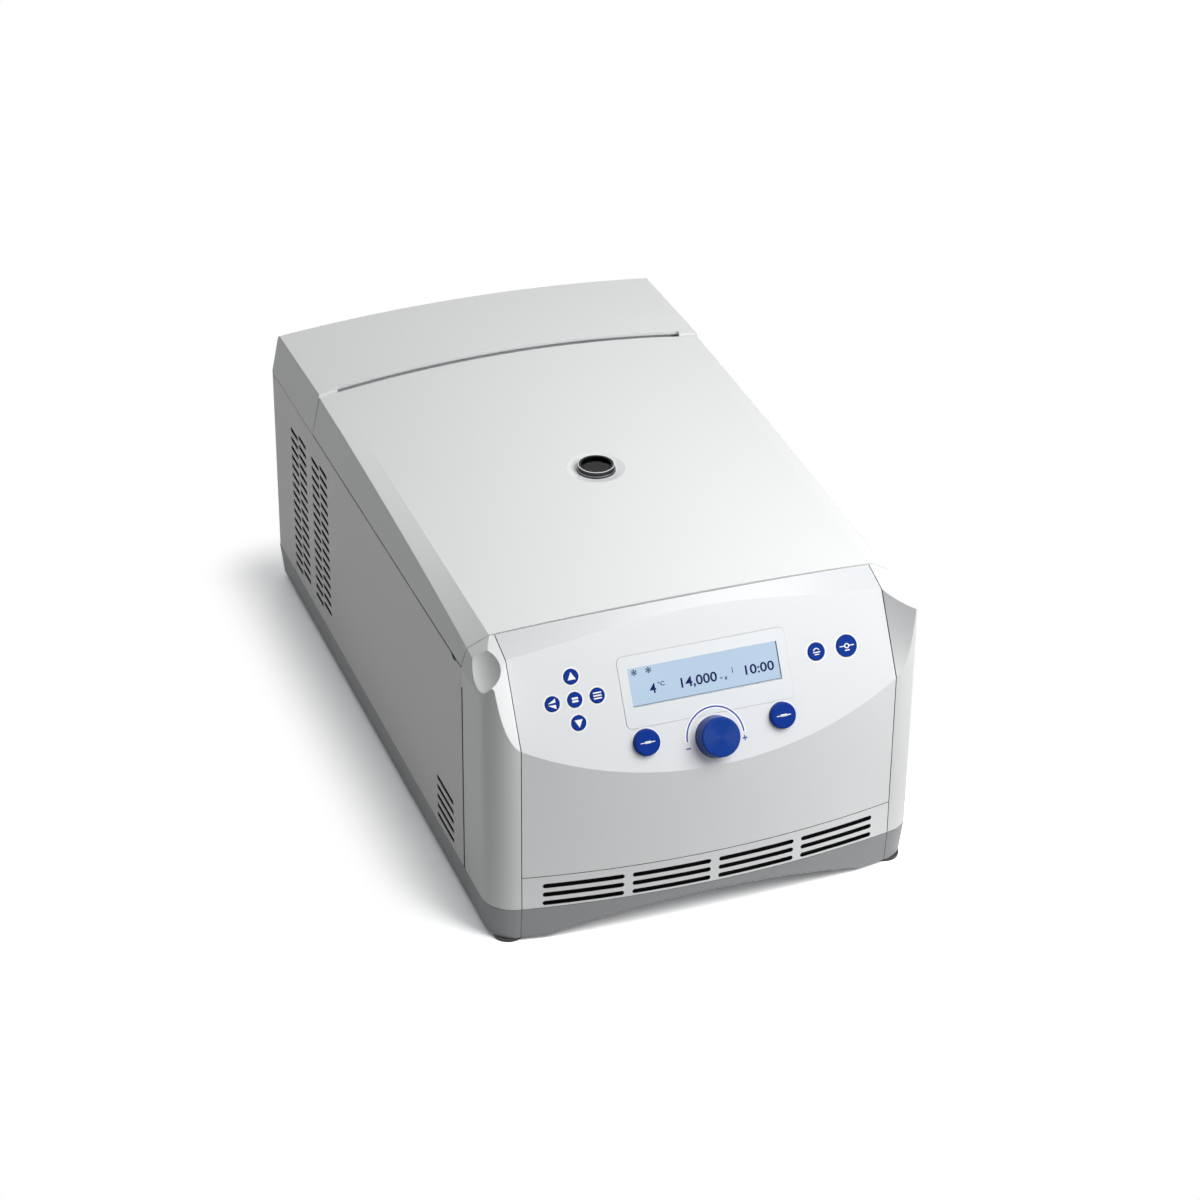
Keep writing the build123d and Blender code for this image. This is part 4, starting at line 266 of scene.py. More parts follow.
def in_base_joint(material, where):
    """On the base's front, in line with the front moulding's ends, where a joint line is painted as shade.
    """
    outer = farther_out(material, where, front_half)
    inner = farther_out(material, where, front_half + SEAM, "LESS_THAN")
    depth = add(material, "SeparateXYZ", {0: where}).outputs["Y"]
    front = add(material, "Math", {0: depth, 1: base_joint_y}, operation="LESS_THAN").outputs[0]
    band = add(material, "Math", {0: outer, 1: inner}, operation="MULTIPLY").outputs[0]
    return add(material, "Math", {0: band, 1: front}, operation="MULTIPLY").outputs[0]


def in_corner_seam(material, where):
    """On the corner's end towards the front moulding, where shade is painted in the seam."""
    return farther_out(material, where, front_half + SEAM + HAIR_MARGIN, "LESS_THAN")


# %% [markdown]
# ## Housing: moulded covers and coated sheet
# The lid, the rear cover and the corners are thick polyurethane mouldings with a coat of
# paint. The paint lays a soft satin skin over the mould's texture and rounds each edge, which
# shows as the thin bright line round the lid, so these materials bend the normal at edges.
# The side walls and the back are folded steel sheet with powder coat in the same colour.
# Powder melts into a faint orange peel of some 3 mm from hill to hill. The front is a finer,
# smoother moulding, because its upper part carries the printed control panel.

# %% Housing finishes
painted_moulding = grained("Painted polyurethane moulding", "#EBECEC", 0.42, 1.2, 0.010, 0.008,
                           rounded_mm=0.7, IOR=1.48)
# Painted shade in the seam at the corner's inner end.
corner_moulding = grained("Painted corner moulding", "#EBECEC", 0.42, 1.2, 0.010, 0.008,
                          rounded_mm=0.7, patches=((in_corner_seam, PAINTED_GAP_SHADE),), IOR=1.48)
powder_coat = grained("Powder coated steel sheet", "#E6E7E6", 0.46, 3.0, 0.030, 0.010,
                      rounded_mm=0.5, IOR=1.50)
# Painted shade on the walls of the side slots.
side_sheet = grained("Powder coated side sheet", "#E3E3E2", 0.46, 3.0, 0.030, 0.010,
                     rounded_mm=0.5, patches=((in_side_slot, PAINTED_GAP_SHADE),), IOR=1.50)
# Painted shade: greyer tones on the slope and crest, which face up into the key lamp, and near black in the
# seams.
panel_moulding = grained("Smooth front moulding", "#F1F2F3", 0.36, 1.6, 0.005, 0.006, rounded_mm=0.5,
                         patches=((on_slope, "#E1E3E5"), (on_crest, "#D9DBDD"), (in_front_seam, PAINTED_GAP_SHADE)),
                         IOR=1.50)
# Painted shade on the walls of the grille's slots.
grille_moulding = grained("Smooth grille moulding", "#F1F2F3", 0.36, 1.6, 0.005, 0.006,
                          patches=((in_front_slot, PAINTED_GAP_SHADE),), IOR=1.50)
# Painted shade: a near black line on the base's front where a joint would be.
base_moulding = grained("Grey base moulding", "#989A9C", 0.52, 0.9, 0.020, 0.02,
                        rounded_mm=0.5, patches=((in_base_joint, PAINTED_GAP_SHADE),), IOR=1.50)
print("housing finishes:", [m.name for m in (painted_moulding, powder_coat, panel_moulding, base_moulding)])

# %% [markdown]
# ## Controls: blue caps, ink and clear window
# The keys, the two buttons and the knob are ABS moulded in deep blue, with a satin face. Their
# legends are pad printed in white ink, which is matt and hides what is under it. The same
# inks give the white rings round the keys and the blue scale round the knob.

# %% Caps and inks
blue_abs = grained("Blue satin ABS", "#0B3693", 0.34, 0.7, 0.004, 0.03, rounded_mm=0.4,
                   **{"IOR": 1.53, "Specular IOR Level": 0.06})
white_ink = grained("White pad print ink", "#FBFBF8", 0.55, 0.8, 0.002, 0.01)
blue_ink = grained("Blue pad print ink", "#1537A0", 0.55, 0.8, 0.002, 0.02)
# Black ink for the rotor's numbers; the same near black is painted as shade round the display's picture.
dark_ink_and_shade = grained("Black ink and painted shade", "#2A2C2F", 0.60, 0.8, 0.002, 0.02)
print("inks:", white_ink.name, blue_ink.name, dark_ink_and_shade.name)

# %% [markdown]
# ## The knob
# A turned-looking knob catches light as a cone that fans out from its centre. The cause is a
# set of fine rings left in the mould by the lathe. They are drawn as a wave in rings round the
# knob's own axis, so the mapping first turns the object's coordinates into the knob's.
# Rings on a real knob are near 0.1 mm apart. They are drawn 3 mm apart so that they show.
# At scale 1 the wave texture makes 20 / 2 pi waves in a metre, so its scale is divided by it.
# Such fine grooves also stretch a highlight across them, so the shader is anisotropic, with
# a tangent that runs along the grooves: the cross product of the axis and the spoke.

# %% Knob finish
knob_joint = joints["knob_turn"]
knob_centre = Vector(knob_joint["pos_m"])
panel_out = Vector(knob_joint["axis"]).normalized()
panel_up = panel_out.cross(Vector((1, 0, 0))).normalized()
panel_lean = math.atan2(panel_up.y, panel_up.z)
WAVES_AT_SCALE_1 = 20 / (2 * math.pi)
RING_CLOUD, RING_TONE, RING_SWING = 14, 0.94, 0.1


def turned_rings(name, colour, roughness, pitch_mm, depth_mm, centre, axis, lean, **shader):
    """A finish with fine lathe rings round an axis that leans back from upright."""
    material, output = empty_material(name)
    where = add(material, "TexCoord").outputs["Object"]
    moved = add(material, "VectorMath", {0: where, 1: centre}, operation="SUBTRACT")
    turned = add(material, "VectorRotate", {"Vector": moved.outputs[0], "Axis": (1, 0, 0), "Angle": lean},
                 rotation_type="AXIS_ANGLE")
    rings = add(material, "TexWave", {"Vector": turned.outputs[0], "Distortion": 0.0,
                                      "Scale": per_metre(pitch_mm) / WAVES_AT_SCALE_1},
                wave_type="RINGS", rings_direction="Z")
    cloud = add(material, "TexNoise", {"Vector": where, "Scale": per_metre(RING_CLOUD), "Detail": 2.0})
    base = linear(colour)
    darker = [c * RING_TONE for c in base[:3]] + [1.0]
    tone = add(material, "Mix", {"Factor": cloud.outputs["Fac"], 6: darker, 7: base}, data_type="RGBA")
    shine = add(material, "MapRange", {"Value": rings.outputs["Fac"],
                                       "To Min": roughness * (1 - RING_SWING),
                                       "To Max": roughness * (1 + RING_SWING)})
    bump = add(material, "Bump", {"Height": rings.outputs["Fac"], "Distance": depth_mm * MM})
    place = add(material, "NewGeometry").outputs["Position"]
    spoke = add(material, "VectorMath", {0: place, 1: centre}, operation="SUBTRACT").outputs[0]
    groove = add(material, "VectorMath", {0: axis, 1: spoke}, operation="CROSS_PRODUCT").outputs[0]
    groove = add(material, "VectorMath", {0: groove}, operation="NORMALIZE").outputs[0]
    body = add(material, "BsdfPrincipled", {"Base Color": tone.outputs[2], "Roughness": shine.outputs[0],
                                            "Normal": bump.outputs[0], "Tangent": groove, **shader})
    material.node_tree.links.new(body.outputs[0], output.inputs["Surface"])
    return material


upright_to_panel = math.pi / 2 - panel_lean
knob_abs = turned_rings("Blue knob with lathe rings", "#0D3B92", 0.30, 3.1416, 0.003, knob_centre, panel_out,
                        upright_to_panel, **{"IOR": 1.53, "Specular IOR Level": 0.12, "Anisotropic": 0.8})
print("panel leans back", round(math.degrees(panel_lean), 1), "degrees")

# %% [markdown]
# ## Display
# A backlit liquid crystal panel glows evenly, with a slow drift of a few percent. It sits
# behind a clear polycarbonate window. The window is printed from behind in pale grey, apart
# from the clear field over the picture, so one plate has two finishes. The field is found from
# the display's own box, and a mask of four comparisons tells the two apart. The clear field
# and the sight glass in the lid are coated against glare, so their index is lower than bare
# plastic's 1.58.

# %% Display glow and the printed window
BACKLIGHT_LOW, BACKLIGHT_HIGH = 0.92, 0.98


def glowing_display(name, colour):
    """Liquid crystal with an even backlight that drifts slightly."""
    material, output = empty_material(name)
    where = add(material, "TexCoord").outputs["Object"]
    spread = add(material, "TexNoise", {"Vector": where, "Scale": per_metre(60), "Detail": 1.0})
    level = add(material, "MapRange", {"Value": spread.outputs["Fac"],
                                       "From Min": NOISE_LOW, "From Max": NOISE_HIGH,
                                       "To Min": BACKLIGHT_LOW, "To Max": BACKLIGHT_HIGH})
    body = add(material, "BsdfPrincipled", {"Base Color": linear("#20262C"), "Roughness": 0.3,
                                            "Emission Color": linear(colour),
                                            "Emission Strength": level.outputs[0]})
    material.node_tree.links.new(body.outputs[0], output.inputs["Surface"])
    return material


COATED = 1.22
SPECKLES, SPECKLE_TONE = 500, 0.985


def clear_gloss(material, roughness, ior):
    """The shader of a thin clear plate: see-through, with a gloss that grows towards the edge."""
    rim = add(material, "Fresnel", {"IOR": ior})
    through = add(material, "BsdfTransparent", {"Color": (0.97, 0.98, 0.98, 1.0)})
    gloss = add(material, "BsdfGlossy", {"Roughness": roughness})
    return add(material, "MixShader", {0: rim.outputs[0], 1: through.outputs[0], 2: gloss.outputs[0]})


def printed_window(name, colour, low, high):
    """A clear plate, printed from behind outside the field between two corners."""
    material, output = empty_material(name)
    along = add(material, "SeparateXYZ", {0: add(material, "TexCoord").outputs["Object"]})
    inside = 1.0
    for axis, least, most in (("X", low.x, high.x), ("Z", low.z, high.z)):
        above = add(material, "Math", {0: along.outputs[axis], 1: least}, operation="GREATER_THAN")
        below = add(material, "Math", {0: along.outputs[axis], 1: most}, operation="LESS_THAN")
        both = add(material, "Math", {0: above.outputs[0], 1: below.outputs[0]}, operation="MULTIPLY")
        inside = add(material, "Math", {0: inside, 1: both.outputs[0]}, operation="MULTIPLY").outputs[0]
    speckle = add(material, "TexNoise", {"Scale": SPECKLES, "Detail": 2.0})
    base = linear(colour)
    darker = [c * SPECKLE_TONE for c in base[:3]] + [1.0]
    tone = add(material, "Mix", {"Factor": speckle.outputs["Fac"], 6: darker, 7: base}, data_type="RGBA")
    printed = add(material, "BsdfPrincipled", {"Base Color": tone.outputs[2], "Roughness": 0.22,
                                               "IOR": 1.58})
    clear = clear_gloss(material, 0.05, COATED)
    mixed = add(material, "MixShader", {0: inside, 1: printed.outputs[0], 2: clear.outputs[0]})
    material.node_tree.links.new(mixed.outputs[0], output.inputs["Surface"])
    return material


def clear_plate(name, roughness, ior):
    """A whole piece of clear glass."""
    material, output = empty_material(name)
    plate = clear_gloss(material, roughness, ior)
    material.node_tree.links.new(plate.outputs[0], output.inputs["Surface"])
    return material


def top_face(node):
    """Points of a piece that lie highest above the panel, for finding its face."""
    points = points_of(node)
    highest = max(p.dot(panel_out) for p in points)
    return [p for p in points if p.dot(panel_out) > highest - HAIR_MARGIN]


display_glow = glowing_display("Backlit liquid crystal", "#B2C9E1")
window_field = corners(top_face("display_module"))
window_plate = printed_window("Printed polycarbonate window", "#E3E6E8", *window_field)
sight_glass = clear_plate("Coated sight glass", 0.02, COATED)
print("window field:", [tuple(round(v, 4) for v in corner) for corner in window_field])

# %% [markdown]
# ## The sight glass ring
# The ring is a short turned tube in chrome. A studio is dark but for its lamps, so chrome
# there mostly reflects black, with a bright reflection on its lip and on each turned step. The
# plain white room of this scene has no such dark, so these reflections are painted into the
# colour as bands by height, and the bore gets painted shade. The bands stay on the ring from
# wherever it is seen.

# %% Ring finish
# Painted reflections as bands by height up to the bright lip, and painted shade in the bore.
RING_REFLECTION_BANDS = ((0.0, "#6A6D71"), (0.12, "#232528"), (0.34, "#85888C"), (0.46, "#2A2C30"),
              (0.92, "#3E4145"), (1.0, "#F0F1F2"))
BORE_SHADE = "#1C1E20"
LIP_WIDTH = 0.35 * MM


def banded_chrome(name, ring_points, top_band):
    """Chrome with reflections painted as bands by height and painted shade in the bore."""
    low, high = corners(ring_points)
    centre = Vector(((low.x + high.x) / 2, (low.y + high.y) / 2, high.z))
    lip_radius = max((p - centre).xy.length for p in ring_points if p.z > high.z - HAIR_MARGIN)
    material, output = empty_material(name)
    where = add(material, "TexCoord").outputs["Object"]
    moved = add(material, "VectorMath", {0: where, 1: centre}, operation="SUBTRACT").outputs[0]
    height = add(material, "SeparateXYZ", {0: moved}).outputs["Z"]
    share = add(material, "MapRange", {"Value": height, "From Min": -top_band, "From Max": 0.0})
    bands = add(material, "ValToRGB", {"Fac": share.outputs[0]})
    ramp = bands.color_ramp
    steps_in_new_ramp = len(ramp.elements)
    for spot, (place, colour) in enumerate(RING_REFLECTION_BANDS):
        step = ramp.elements[spot] if spot < steps_in_new_ramp else ramp.elements.new(place)
        step.position = place
        step.color = linear(colour)
    flat = add(material, "VectorMath", {0: moved, 1: (1, 1, 0)}, operation="MULTIPLY").outputs[0]
    reach = add(material, "VectorMath", {0: flat}, operation="LENGTH").outputs["Value"]
    bore = add(material, "Math", {0: reach, 1: lip_radius - LIP_WIDTH}, operation="LESS_THAN").outputs[0]
    tone = add(material, "Mix", {"Factor": bore, 6: bands.outputs[0], 7: linear(BORE_SHADE)},
               data_type="RGBA")
    lathe = add(material, "TexNoise", {"Vector": where, "Scale": per_metre(1.5), "Detail": 2.0})
    shine = add(material, "MapRange", {"Value": lathe.outputs["Fac"], "To Min": 0.10, "To Max": 0.18})
    body = add(material, "BsdfPrincipled", {"Base Color": tone.outputs[2], "Roughness": shine.outputs[0],
                                            "Metallic": 1.0})
    material.node_tree.links.new(body.outputs[0], output.inputs["Surface"])
    return material


RING_ABOVE_LID = 5.6 * MM
ring_chrome = banded_chrome("Chrome ring with painted reflections", points_of("sight_glass_ring"), RING_ABOVE_LID)
print("ring finish:", ring_chrome.name)

# %% [markdown]
# ## Metals
# The bowl is deep drawn stainless steel, polished round and round by a lathe, so its lines run
# in circles, drawn as a soft swell every 10 mm. Sheet parts are brushed along one way, the
# rotor is forged aluminium, blasted and anodised to a dull silver, and pins and screws are
# bright plated. All metals keep the usual index of refraction, and their colour is that of
# the bare metal.

# %% Metal finishes
chamber_low, chamber_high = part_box("chamber_bowl")
chamber_middle = (chamber_low + chamber_high) / 2
drawn_steel = turned_rings("Polished stainless steel", "#C9CACB", 0.24, 10.0531, 0.010, chamber_middle,
                           Vector((0, 0, 1)), 0.0, **{"Metallic": 1.0, "Anisotropic": 0.7})
brushed_steel = grained("Brushed stainless sheet", "#B9BBBC", 0.34, 0.5, 0.010, 0.02, stretch=(60, 1, 1),
                        Metallic=1.0)
plated_steel = grained("Bright zinc plate", "#BFC3C8", 0.30, 1.5, 0.004, 0.04, Metallic=1.0)
anodised = grained("Blasted anodised aluminium", "#A9ADB2", 0.42, 0.6, 0.012, 0.02, rounded_mm=0.4,
                   Metallic=1.0)
cast_aluminium = grained("Cast aluminium", "#9EA1A4", 0.55, 2.5, 0.06, 0.05, Metallic=1.0)
fin_aluminium = grained("Rolled fin aluminium", "#B8BBBD", 0.38, 1.0, 0.008, 0.03, stretch=(1, 1, 30),
                        Metallic=1.0)
drawn_copper = grained("Drawn copper tube", "#B87352", 0.32, 2.5, 0.006, 0.08, Metallic=1.0)
copper_winding = grained("Varnished copper winding", "#8A4A2C", 0.40, 1.0, 0.25, 0.08, stretch=(1, 1, 12),
                         **{"Metallic": 0.8, "Coat Weight": 0.5})
print("metals:", [m.name for m in (drawn_steel, brushed_steel, plated_steel, anodised)])

# %% [markdown]
# ## Rubber, foam and dark parts
# The seal round the chamber and the feet are matt black rubber with a faint bloom. The foam
# round the bowl is rigid polyurethane with a sandy skin. The compressor wears black enamel,
# and the fan, the inlet and the rocker are black glass-filled nylon.

# %% Dark and soft finishes
black_rubber = grained("Black moulded rubber", "#232425", 0.68, 0.8, 0.03, 0.08, IOR=1.52)
rigid_foam = grained("Rigid polyurethane foam", "#DED6BC", 0.85, 1.4, 0.35, 0.06, IOR=1.45)
black_enamel = grained("Black compressor enamel", "#1D1E20", 0.32, 4.0, 0.05, 0.06, IOR=1.50)
black_nylon = grained("Black glass filled nylon", "#1E1F21", 0.50, 0.7, 0.02, 0.06, rounded_mm=0.3,
                      IOR=1.53)
liner_plastic = grained("Pale grey lid liner", "#D3D6D8", 0.48, 1.4, 0.02, 0.02, rounded_mm=0.6,
                        IOR=1.50)
board_resin = grained("Green circuit board", "#1F5C3A", 0.40, 3.0, 0.03, 0.10, **{"Coat Weight": 0.4})
print("dark finishes:", [m.name for m in (black_rubber, black_enamel, black_nylon)])

# %% [markdown]
# ## Each piece gets its finish
# One table names the finish of every piece. Pieces that the CAD made of several solids share
# one finish, because they are of one make on the real object too.

# %% Finishes for all pieces
finish_of = {
    painted_moulding: ["lid_shell", "rear_cover"],
    corner_moulding: ["left_corner_cover", "right_corner_cover"],
    powder_coat: ["rear_panel"],
    side_sheet: ["left_side_panel", "right_side_panel"],
    panel_moulding: ["front_panel"],
    grille_moulding: ["front_vent_grille"],
    base_moulding: ["base_tray"],
    blue_abs: ["key_up", "key_down", "key_left", "key_right", "key_menu", "key_short", "key_open",
               "button_left", "button_right"],
    knob_abs: ["control_knob"],
    display_glow: ["display_module"],
    window_plate: ["display_window"],
    sight_glass: ["sight_glass_panes"],
    drawn_steel: ["chamber_bowl"],
    brushed_steel: ["hinge_arms", "hinge_brackets", "motor_plate", "latch_slider", "latch_base",
                    "power_supply"],
    plated_steel: ["screws", "hinge_pins", "lid_strikers", "deck_pillars", "motor_shaft", "rotor_nut",
                   "motor_bearings"],
    ring_chrome: ["sight_glass_ring"],
    anodised: ["rotor"],
    cast_aluminium: ["motor_housing"],
    fin_aluminium: ["condenser"],
    drawn_copper: ["refrigerant_pipes", "evaporator_coil", "filter_drier"],
    copper_winding: ["motor_stator"],
    black_rubber: ["chamber_gasket", "rubber_feet", "rubber_mounts", "shaft_seal"],
    rigid_foam: ["chamber_insulation"],
    black_enamel: ["compressor", "fan_motor"],
    black_nylon: ["fan_case", "condenser_fan", "power_entry", "switch_rocker"],
    liner_plastic: ["lid_liner", "chamber_deck", "hinge_wall"],
    board_resin: ["control_board"],
}
for finish, members in finish_of.items():
    for member in members:
        nodes[member].data.materials.clear()
        nodes[member].data.materials.append(finish)
finished = {member for members in finish_of.values() for member in members}
print("pieces with a finish:", len(finished), "still plain:", sorted(set(nodes) - finished))

# %% [markdown]
# ## Drawing printed marks
# Ink lies on a surface as a film a few hundredths of a millimetre thick. Each mark is drawn
# as an outline in millimetres, drawn up into a thin solid, and laid on its surface by a matrix.
# The panel's own matrix comes from the knob's joint: its axis points out of the panel.

# %% Outlines and ink
INK = 0.04
PANEL = Matrix((
    (1, 0, 0, knob_centre.x),
    (0, panel_up.y, panel_out.y, knob_centre.y),
    (0, panel_up.z, panel_out.z, knob_centre.z),
    (0, 0, 0, 1)))


def band(inner, outer, start, end, x=0.0, y=0.0, steps=48):
    """The outline of a curved band round a centre, from one angle to another in degrees."""
    turns = [math.radians(start + (end - start) * i / steps) for i in range(steps + 1)]
    rim = [(x + outer * math.cos(t), y + outer * math.sin(t)) for t in turns]
    back = [(x + inner * math.cos(t), y + inner * math.sin(t)) for t in reversed(turns)]
    return rim + back


def ring(inner, outer, x=0.0, y=0.0):
    """A whole ring as two half bands."""
    return [band(inner, outer, 0, 180, x, y), band(inner, outer, 180, 360, x, y)]


def band_above(inner, outer, edge, steps=32):
    """The part of a half ring that lies above a level, cut straight along it."""
    outline = []
    for radius, way in ((outer, 1), (inner, -1)):
        start = math.asin(edge / radius)
        turns = [start + (math.pi - 2 * start) * i / steps for i in range(steps + 1)]
        outline += [(radius * math.cos(t), radius * math.sin(t)) for t in turns[::way]]
    return outline


def bar(x, y, width, height, turn=0.0):
    """A bar round its middle, turned by some degrees."""
    c, s = math.cos(math.radians(turn)), math.sin(math.radians(turn))
    u, v = width / 2, height / 2
    return [(x + c * a - s * b, y + s * a + c * b) for a, b in ((-u, -v), (u, -v), (u, v), (-u, v))]


def print_marks(name, outlines, place, body, material, thick=INK):
    """Lays outlines in millimetres on a surface as a thin film of ink that moves with a body."""
    film = bmesh.new()
    for outline in outlines:
        face = film.faces.new([film.verts.new((x * MM, y * MM, 0.0)) for x, y in outline])
        if face.normal.z < 0 or face.calc_area() == 0:
            face.normal_flip()
        raised = bmesh.ops.extrude_face_region(film, geom=[face])["geom"]
        top = [g for g in raised if isinstance(g, bmesh.types.BMVert)]
        bmesh.ops.translate(film, verts=top, vec=(0, 0, thick * MM))
    bmesh.ops.recalc_face_normals(film, faces=film.faces)
    mesh = bpy.data.meshes.new(name)
    film.transform(place)
    film.to_mesh(mesh)
    film.free()
    mesh.materials.append(material)
    piece = bpy.data.objects.new(name, mesh)
    bpy.context.scene.collection.objects.link(piece)
    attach(piece, body)
    return piece


# %% [markdown]
# ## White rings, scale and signs on the panel
# Each key sits in a white printed ring. Its middle and width come from the key's own face, so
# the ring follows if the key moves. The knob has a blue scale over its upper half, with a
# minus at its left end and a plus at its right, and a white line on both sides of the scale.
# The top of the scale runs over the lower edge of the display window, so that part is printed
# on the window, which stands a little proud of the panel.

# %% Printed rings and the knob's scale
panel_back = PANEL.inverted()
KEYS = ["key_up", "key_down", "key_left", "key_right", "key_menu", "key_short", "key_open",
        "button_left", "button_right"]


def points_on_panel(points):
    """Points in millimetres along, up and out of the panel."""
    return [panel_back @ p / MM for p in points]


def face_on_panel(node):
    """Middle and radius of a round cap in millimetres on the panel, and its height above it."""
    shown = [p for p in points_on_panel(points_of(node)) if p.z * MM > HAIR_MARGIN]
    low, high = corners(shown)
    return (low.x + high.x) / 2, (low.y + high.y) / 2, (high.x - low.x) / 2, high.z


CAP_PLAY, RING_WIDTH = 0.3, 1.3
KNOB_PLAY, KNOB_RING_WIDTH = 0.2, 1.2
SCALE_RADIUS, SCALE_WIDTH, SCALE_HALO, SCALE_OVERRUN = 24.0, 1.3, 1.2, 2
halo = []
for key in KEYS:
    x, y, radius, height = face_on_panel(key)
    print(key, [round(v, 2) for v in (x, y, radius, height)])
    halo += ring(radius + CAP_PLAY, radius + CAP_PLAY + RING_WIDTH, x, y)
scale_outer = SCALE_RADIUS + SCALE_WIDTH
white_sides = ((SCALE_RADIUS - SCALE_HALO, SCALE_RADIUS), (scale_outer, scale_outer + SCALE_HALO))
halo += [band(inner, outer, -SCALE_OVERRUN, 180 + SCALE_OVERRUN) for inner, outer in white_sides]
knob_hole = face_on_panel("control_knob")[2] + KNOB_PLAY
halo += ring(knob_hole, knob_hole + KNOB_RING_WIDTH)
print_marks("key_rings", halo, PANEL, "housing", white_ink)
SIGN_X, SIGN_Y, SIGN, STROKE = 24.6, -5.6, 4.2, 1.1
signs = [band(SCALE_RADIUS, scale_outer, 0, 180),
         bar(-SIGN_X, SIGN_Y, SIGN, STROKE),
         bar(SIGN_X, SIGN_Y, SIGN, STROKE)]
plus_arm = (SIGN - STROKE) / 2
signs += [bar(SIGN_X, SIGN_Y + side * (STROKE + plus_arm) / 2, STROKE, plus_arm) for side in (-1, 1)]
print_marks("knob_scale", signs, PANEL, "housing", blue_ink)
window_low, window_high = corners(points_on_panel(points_of("display_window")))
on_window = PANEL @ Matrix.Translation((0, 0, window_high.z * MM))
white_over = [band_above(inner, outer, window_low.y) for inner, outer in white_sides]
blue_over = [band_above(SCALE_RADIUS, scale_outer, window_low.y)]
print_marks("scale_field_on_window", white_over, on_window, "housing", white_ink)
print_marks("knob_scale_on_window", blue_over, on_window, "housing", blue_ink)

# %% [markdown]
# ## Legends on the keys
# The legends are plain signs: arrows on three keys, lines for lists on the others, an arc
# over a bar for the short run, a ring on a line for the lid, and a bar on each button.
# A legend rides on its own key, so it goes down with the key when this is pressed.

# %% Key legends


def arrow(size, turn):
    """A filled triangle whose tip points up, turned by some degrees."""
    corner = [(0, 0.62 * size), (-0.56 * size, -0.42 * size), (0.56 * size, -0.42 * size)]
    c, s = math.cos(math.radians(turn)), math.sin(math.radians(turn))
    return [(c * a - s * b, s * a + c * b) for a, b in corner]


def split_arrow(size):
    """A left arrow in two halves, one above the other."""
    top = [(-0.6 * size, 0.08 * size), (0.4 * size, 0.62 * size), (0.4 * size, 0.12 * size)]
    return [top, [(a, -b - 0.04 * size) for a, b in reversed(top)]]


def lines(width, stroke, step, count):
    """A few bars above each other."""
    return [bar(0, step * (i - (count - 1) / 2), width, stroke) for i in range(count)]


legends = {
    "key_up": [arrow(6.2, 0)],
    "key_down": [arrow(6.2, 180)],
    "key_left": split_arrow(6.6),
    "key_menu": lines(5.2, 1.7, 2.4, 2),
    "key_right": lines(7.0, 1.1, 2.3, 3),
    "key_short": [band(2.2, 3.0, 20, 160), bar(0, -0.6, 6.4, 0.8), bar(0, -2.4, 4.0, 0.8)],
    "key_open": [bar(-4.3, 0, 4.2, 0.8), bar(4.3, 0, 4.2, 0.8), *ring(1.3, 2.2), bar(0, -3.6, 4.4, 0.9)],
    "button_left": [bar(0, 0, 12.5, 0.7), bar(0, 0.1, 5.2, 1.9)],
    "button_right": [bar(0, 0, 12.5, 0.7), bar(0, 0.1, 5.2, 1.9)],
}
for key, outlines in legends.items():
    x, y, _, height = face_on_panel(key)
    place = PANEL @ Matrix.Translation((x * MM, y * MM, height * MM))
    print_marks(key + "_legend", outlines, place, key + "_cap", white_ink)
print("legends:", len(legends))

# %% [markdown]
# ## Picture on the display
# The glowing layer of a liquid crystal lies close under the window's face, so a thin plate for
# it sits within the window's thickness. Its segments lie a hair above it and cast no light of
# their own. A dark line round the picture, widest at the top and the right, is painted shade of
# the window's edge over the sunken picture. Numbers are set with the built-in font, which has
# round, even strokes like the display's, and each is scaled to the width and height it has on
# the glass.

# %% Words and signs on the display
screen_low, screen_high = corners(points_on_panel(top_face("display_module")))
PLATE_SHEET, PLATE_RISE, PLATE_MARGIN = 0.1, 0.35, 0.3
# Widths of the painted shade round the picture: bottom and left, top, right, and how much shorter the sides
# are.
FINE_SHADE, TOP_SHADE, RIGHT_SHADE, LINE_ENDS = 0.3, 0.6, 0.8, 1.0
plate_place = PANEL @ Matrix.Translation((0, 0, (screen_high.z + PLATE_RISE - PLATE_SHEET) * MM))
screen_place = PANEL @ Matrix.Translation((0, 0, (screen_high.z + PLATE_RISE) * MM))
crystal = grained("Dark liquid crystal", "#0B1C5E", 0.60, 0.8, 0.002, 0.03,
                  **{"Specular IOR Level": 0.05})
SCREEN_MIDDLE = (screen_low.y + screen_high.y) / 2
picture_width = screen_high.x - screen_low.x + 2 * PLATE_MARGIN
picture_height = screen_high.y - screen_low.y + 2 * PLATE_MARGIN
picture = [bar(0, SCREEN_MIDDLE, picture_width, picture_height)]
print_marks("display_picture", picture, plate_place, "housing", display_glow, PLATE_SHEET)
side_height = picture_height - 2 * LINE_ENDS
frame_shade_lines = [
    bar(0, screen_high.y - TOP_SHADE / 2, picture_width, TOP_SHADE),
    bar(0, screen_low.y + FINE_SHADE / 2, picture_width, FINE_SHADE),
    bar(screen_low.x + FINE_SHADE / 2, SCREEN_MIDDLE, FINE_SHADE, side_height),
    bar(screen_high.x - RIGHT_SHADE / 2, SCREEN_MIDDLE, RIGHT_SHADE, side_height)]
print_marks("display_frame_shade", frame_shade_lines, screen_place, "housing", dark_ink_and_shade)
BOLDER = 0.018


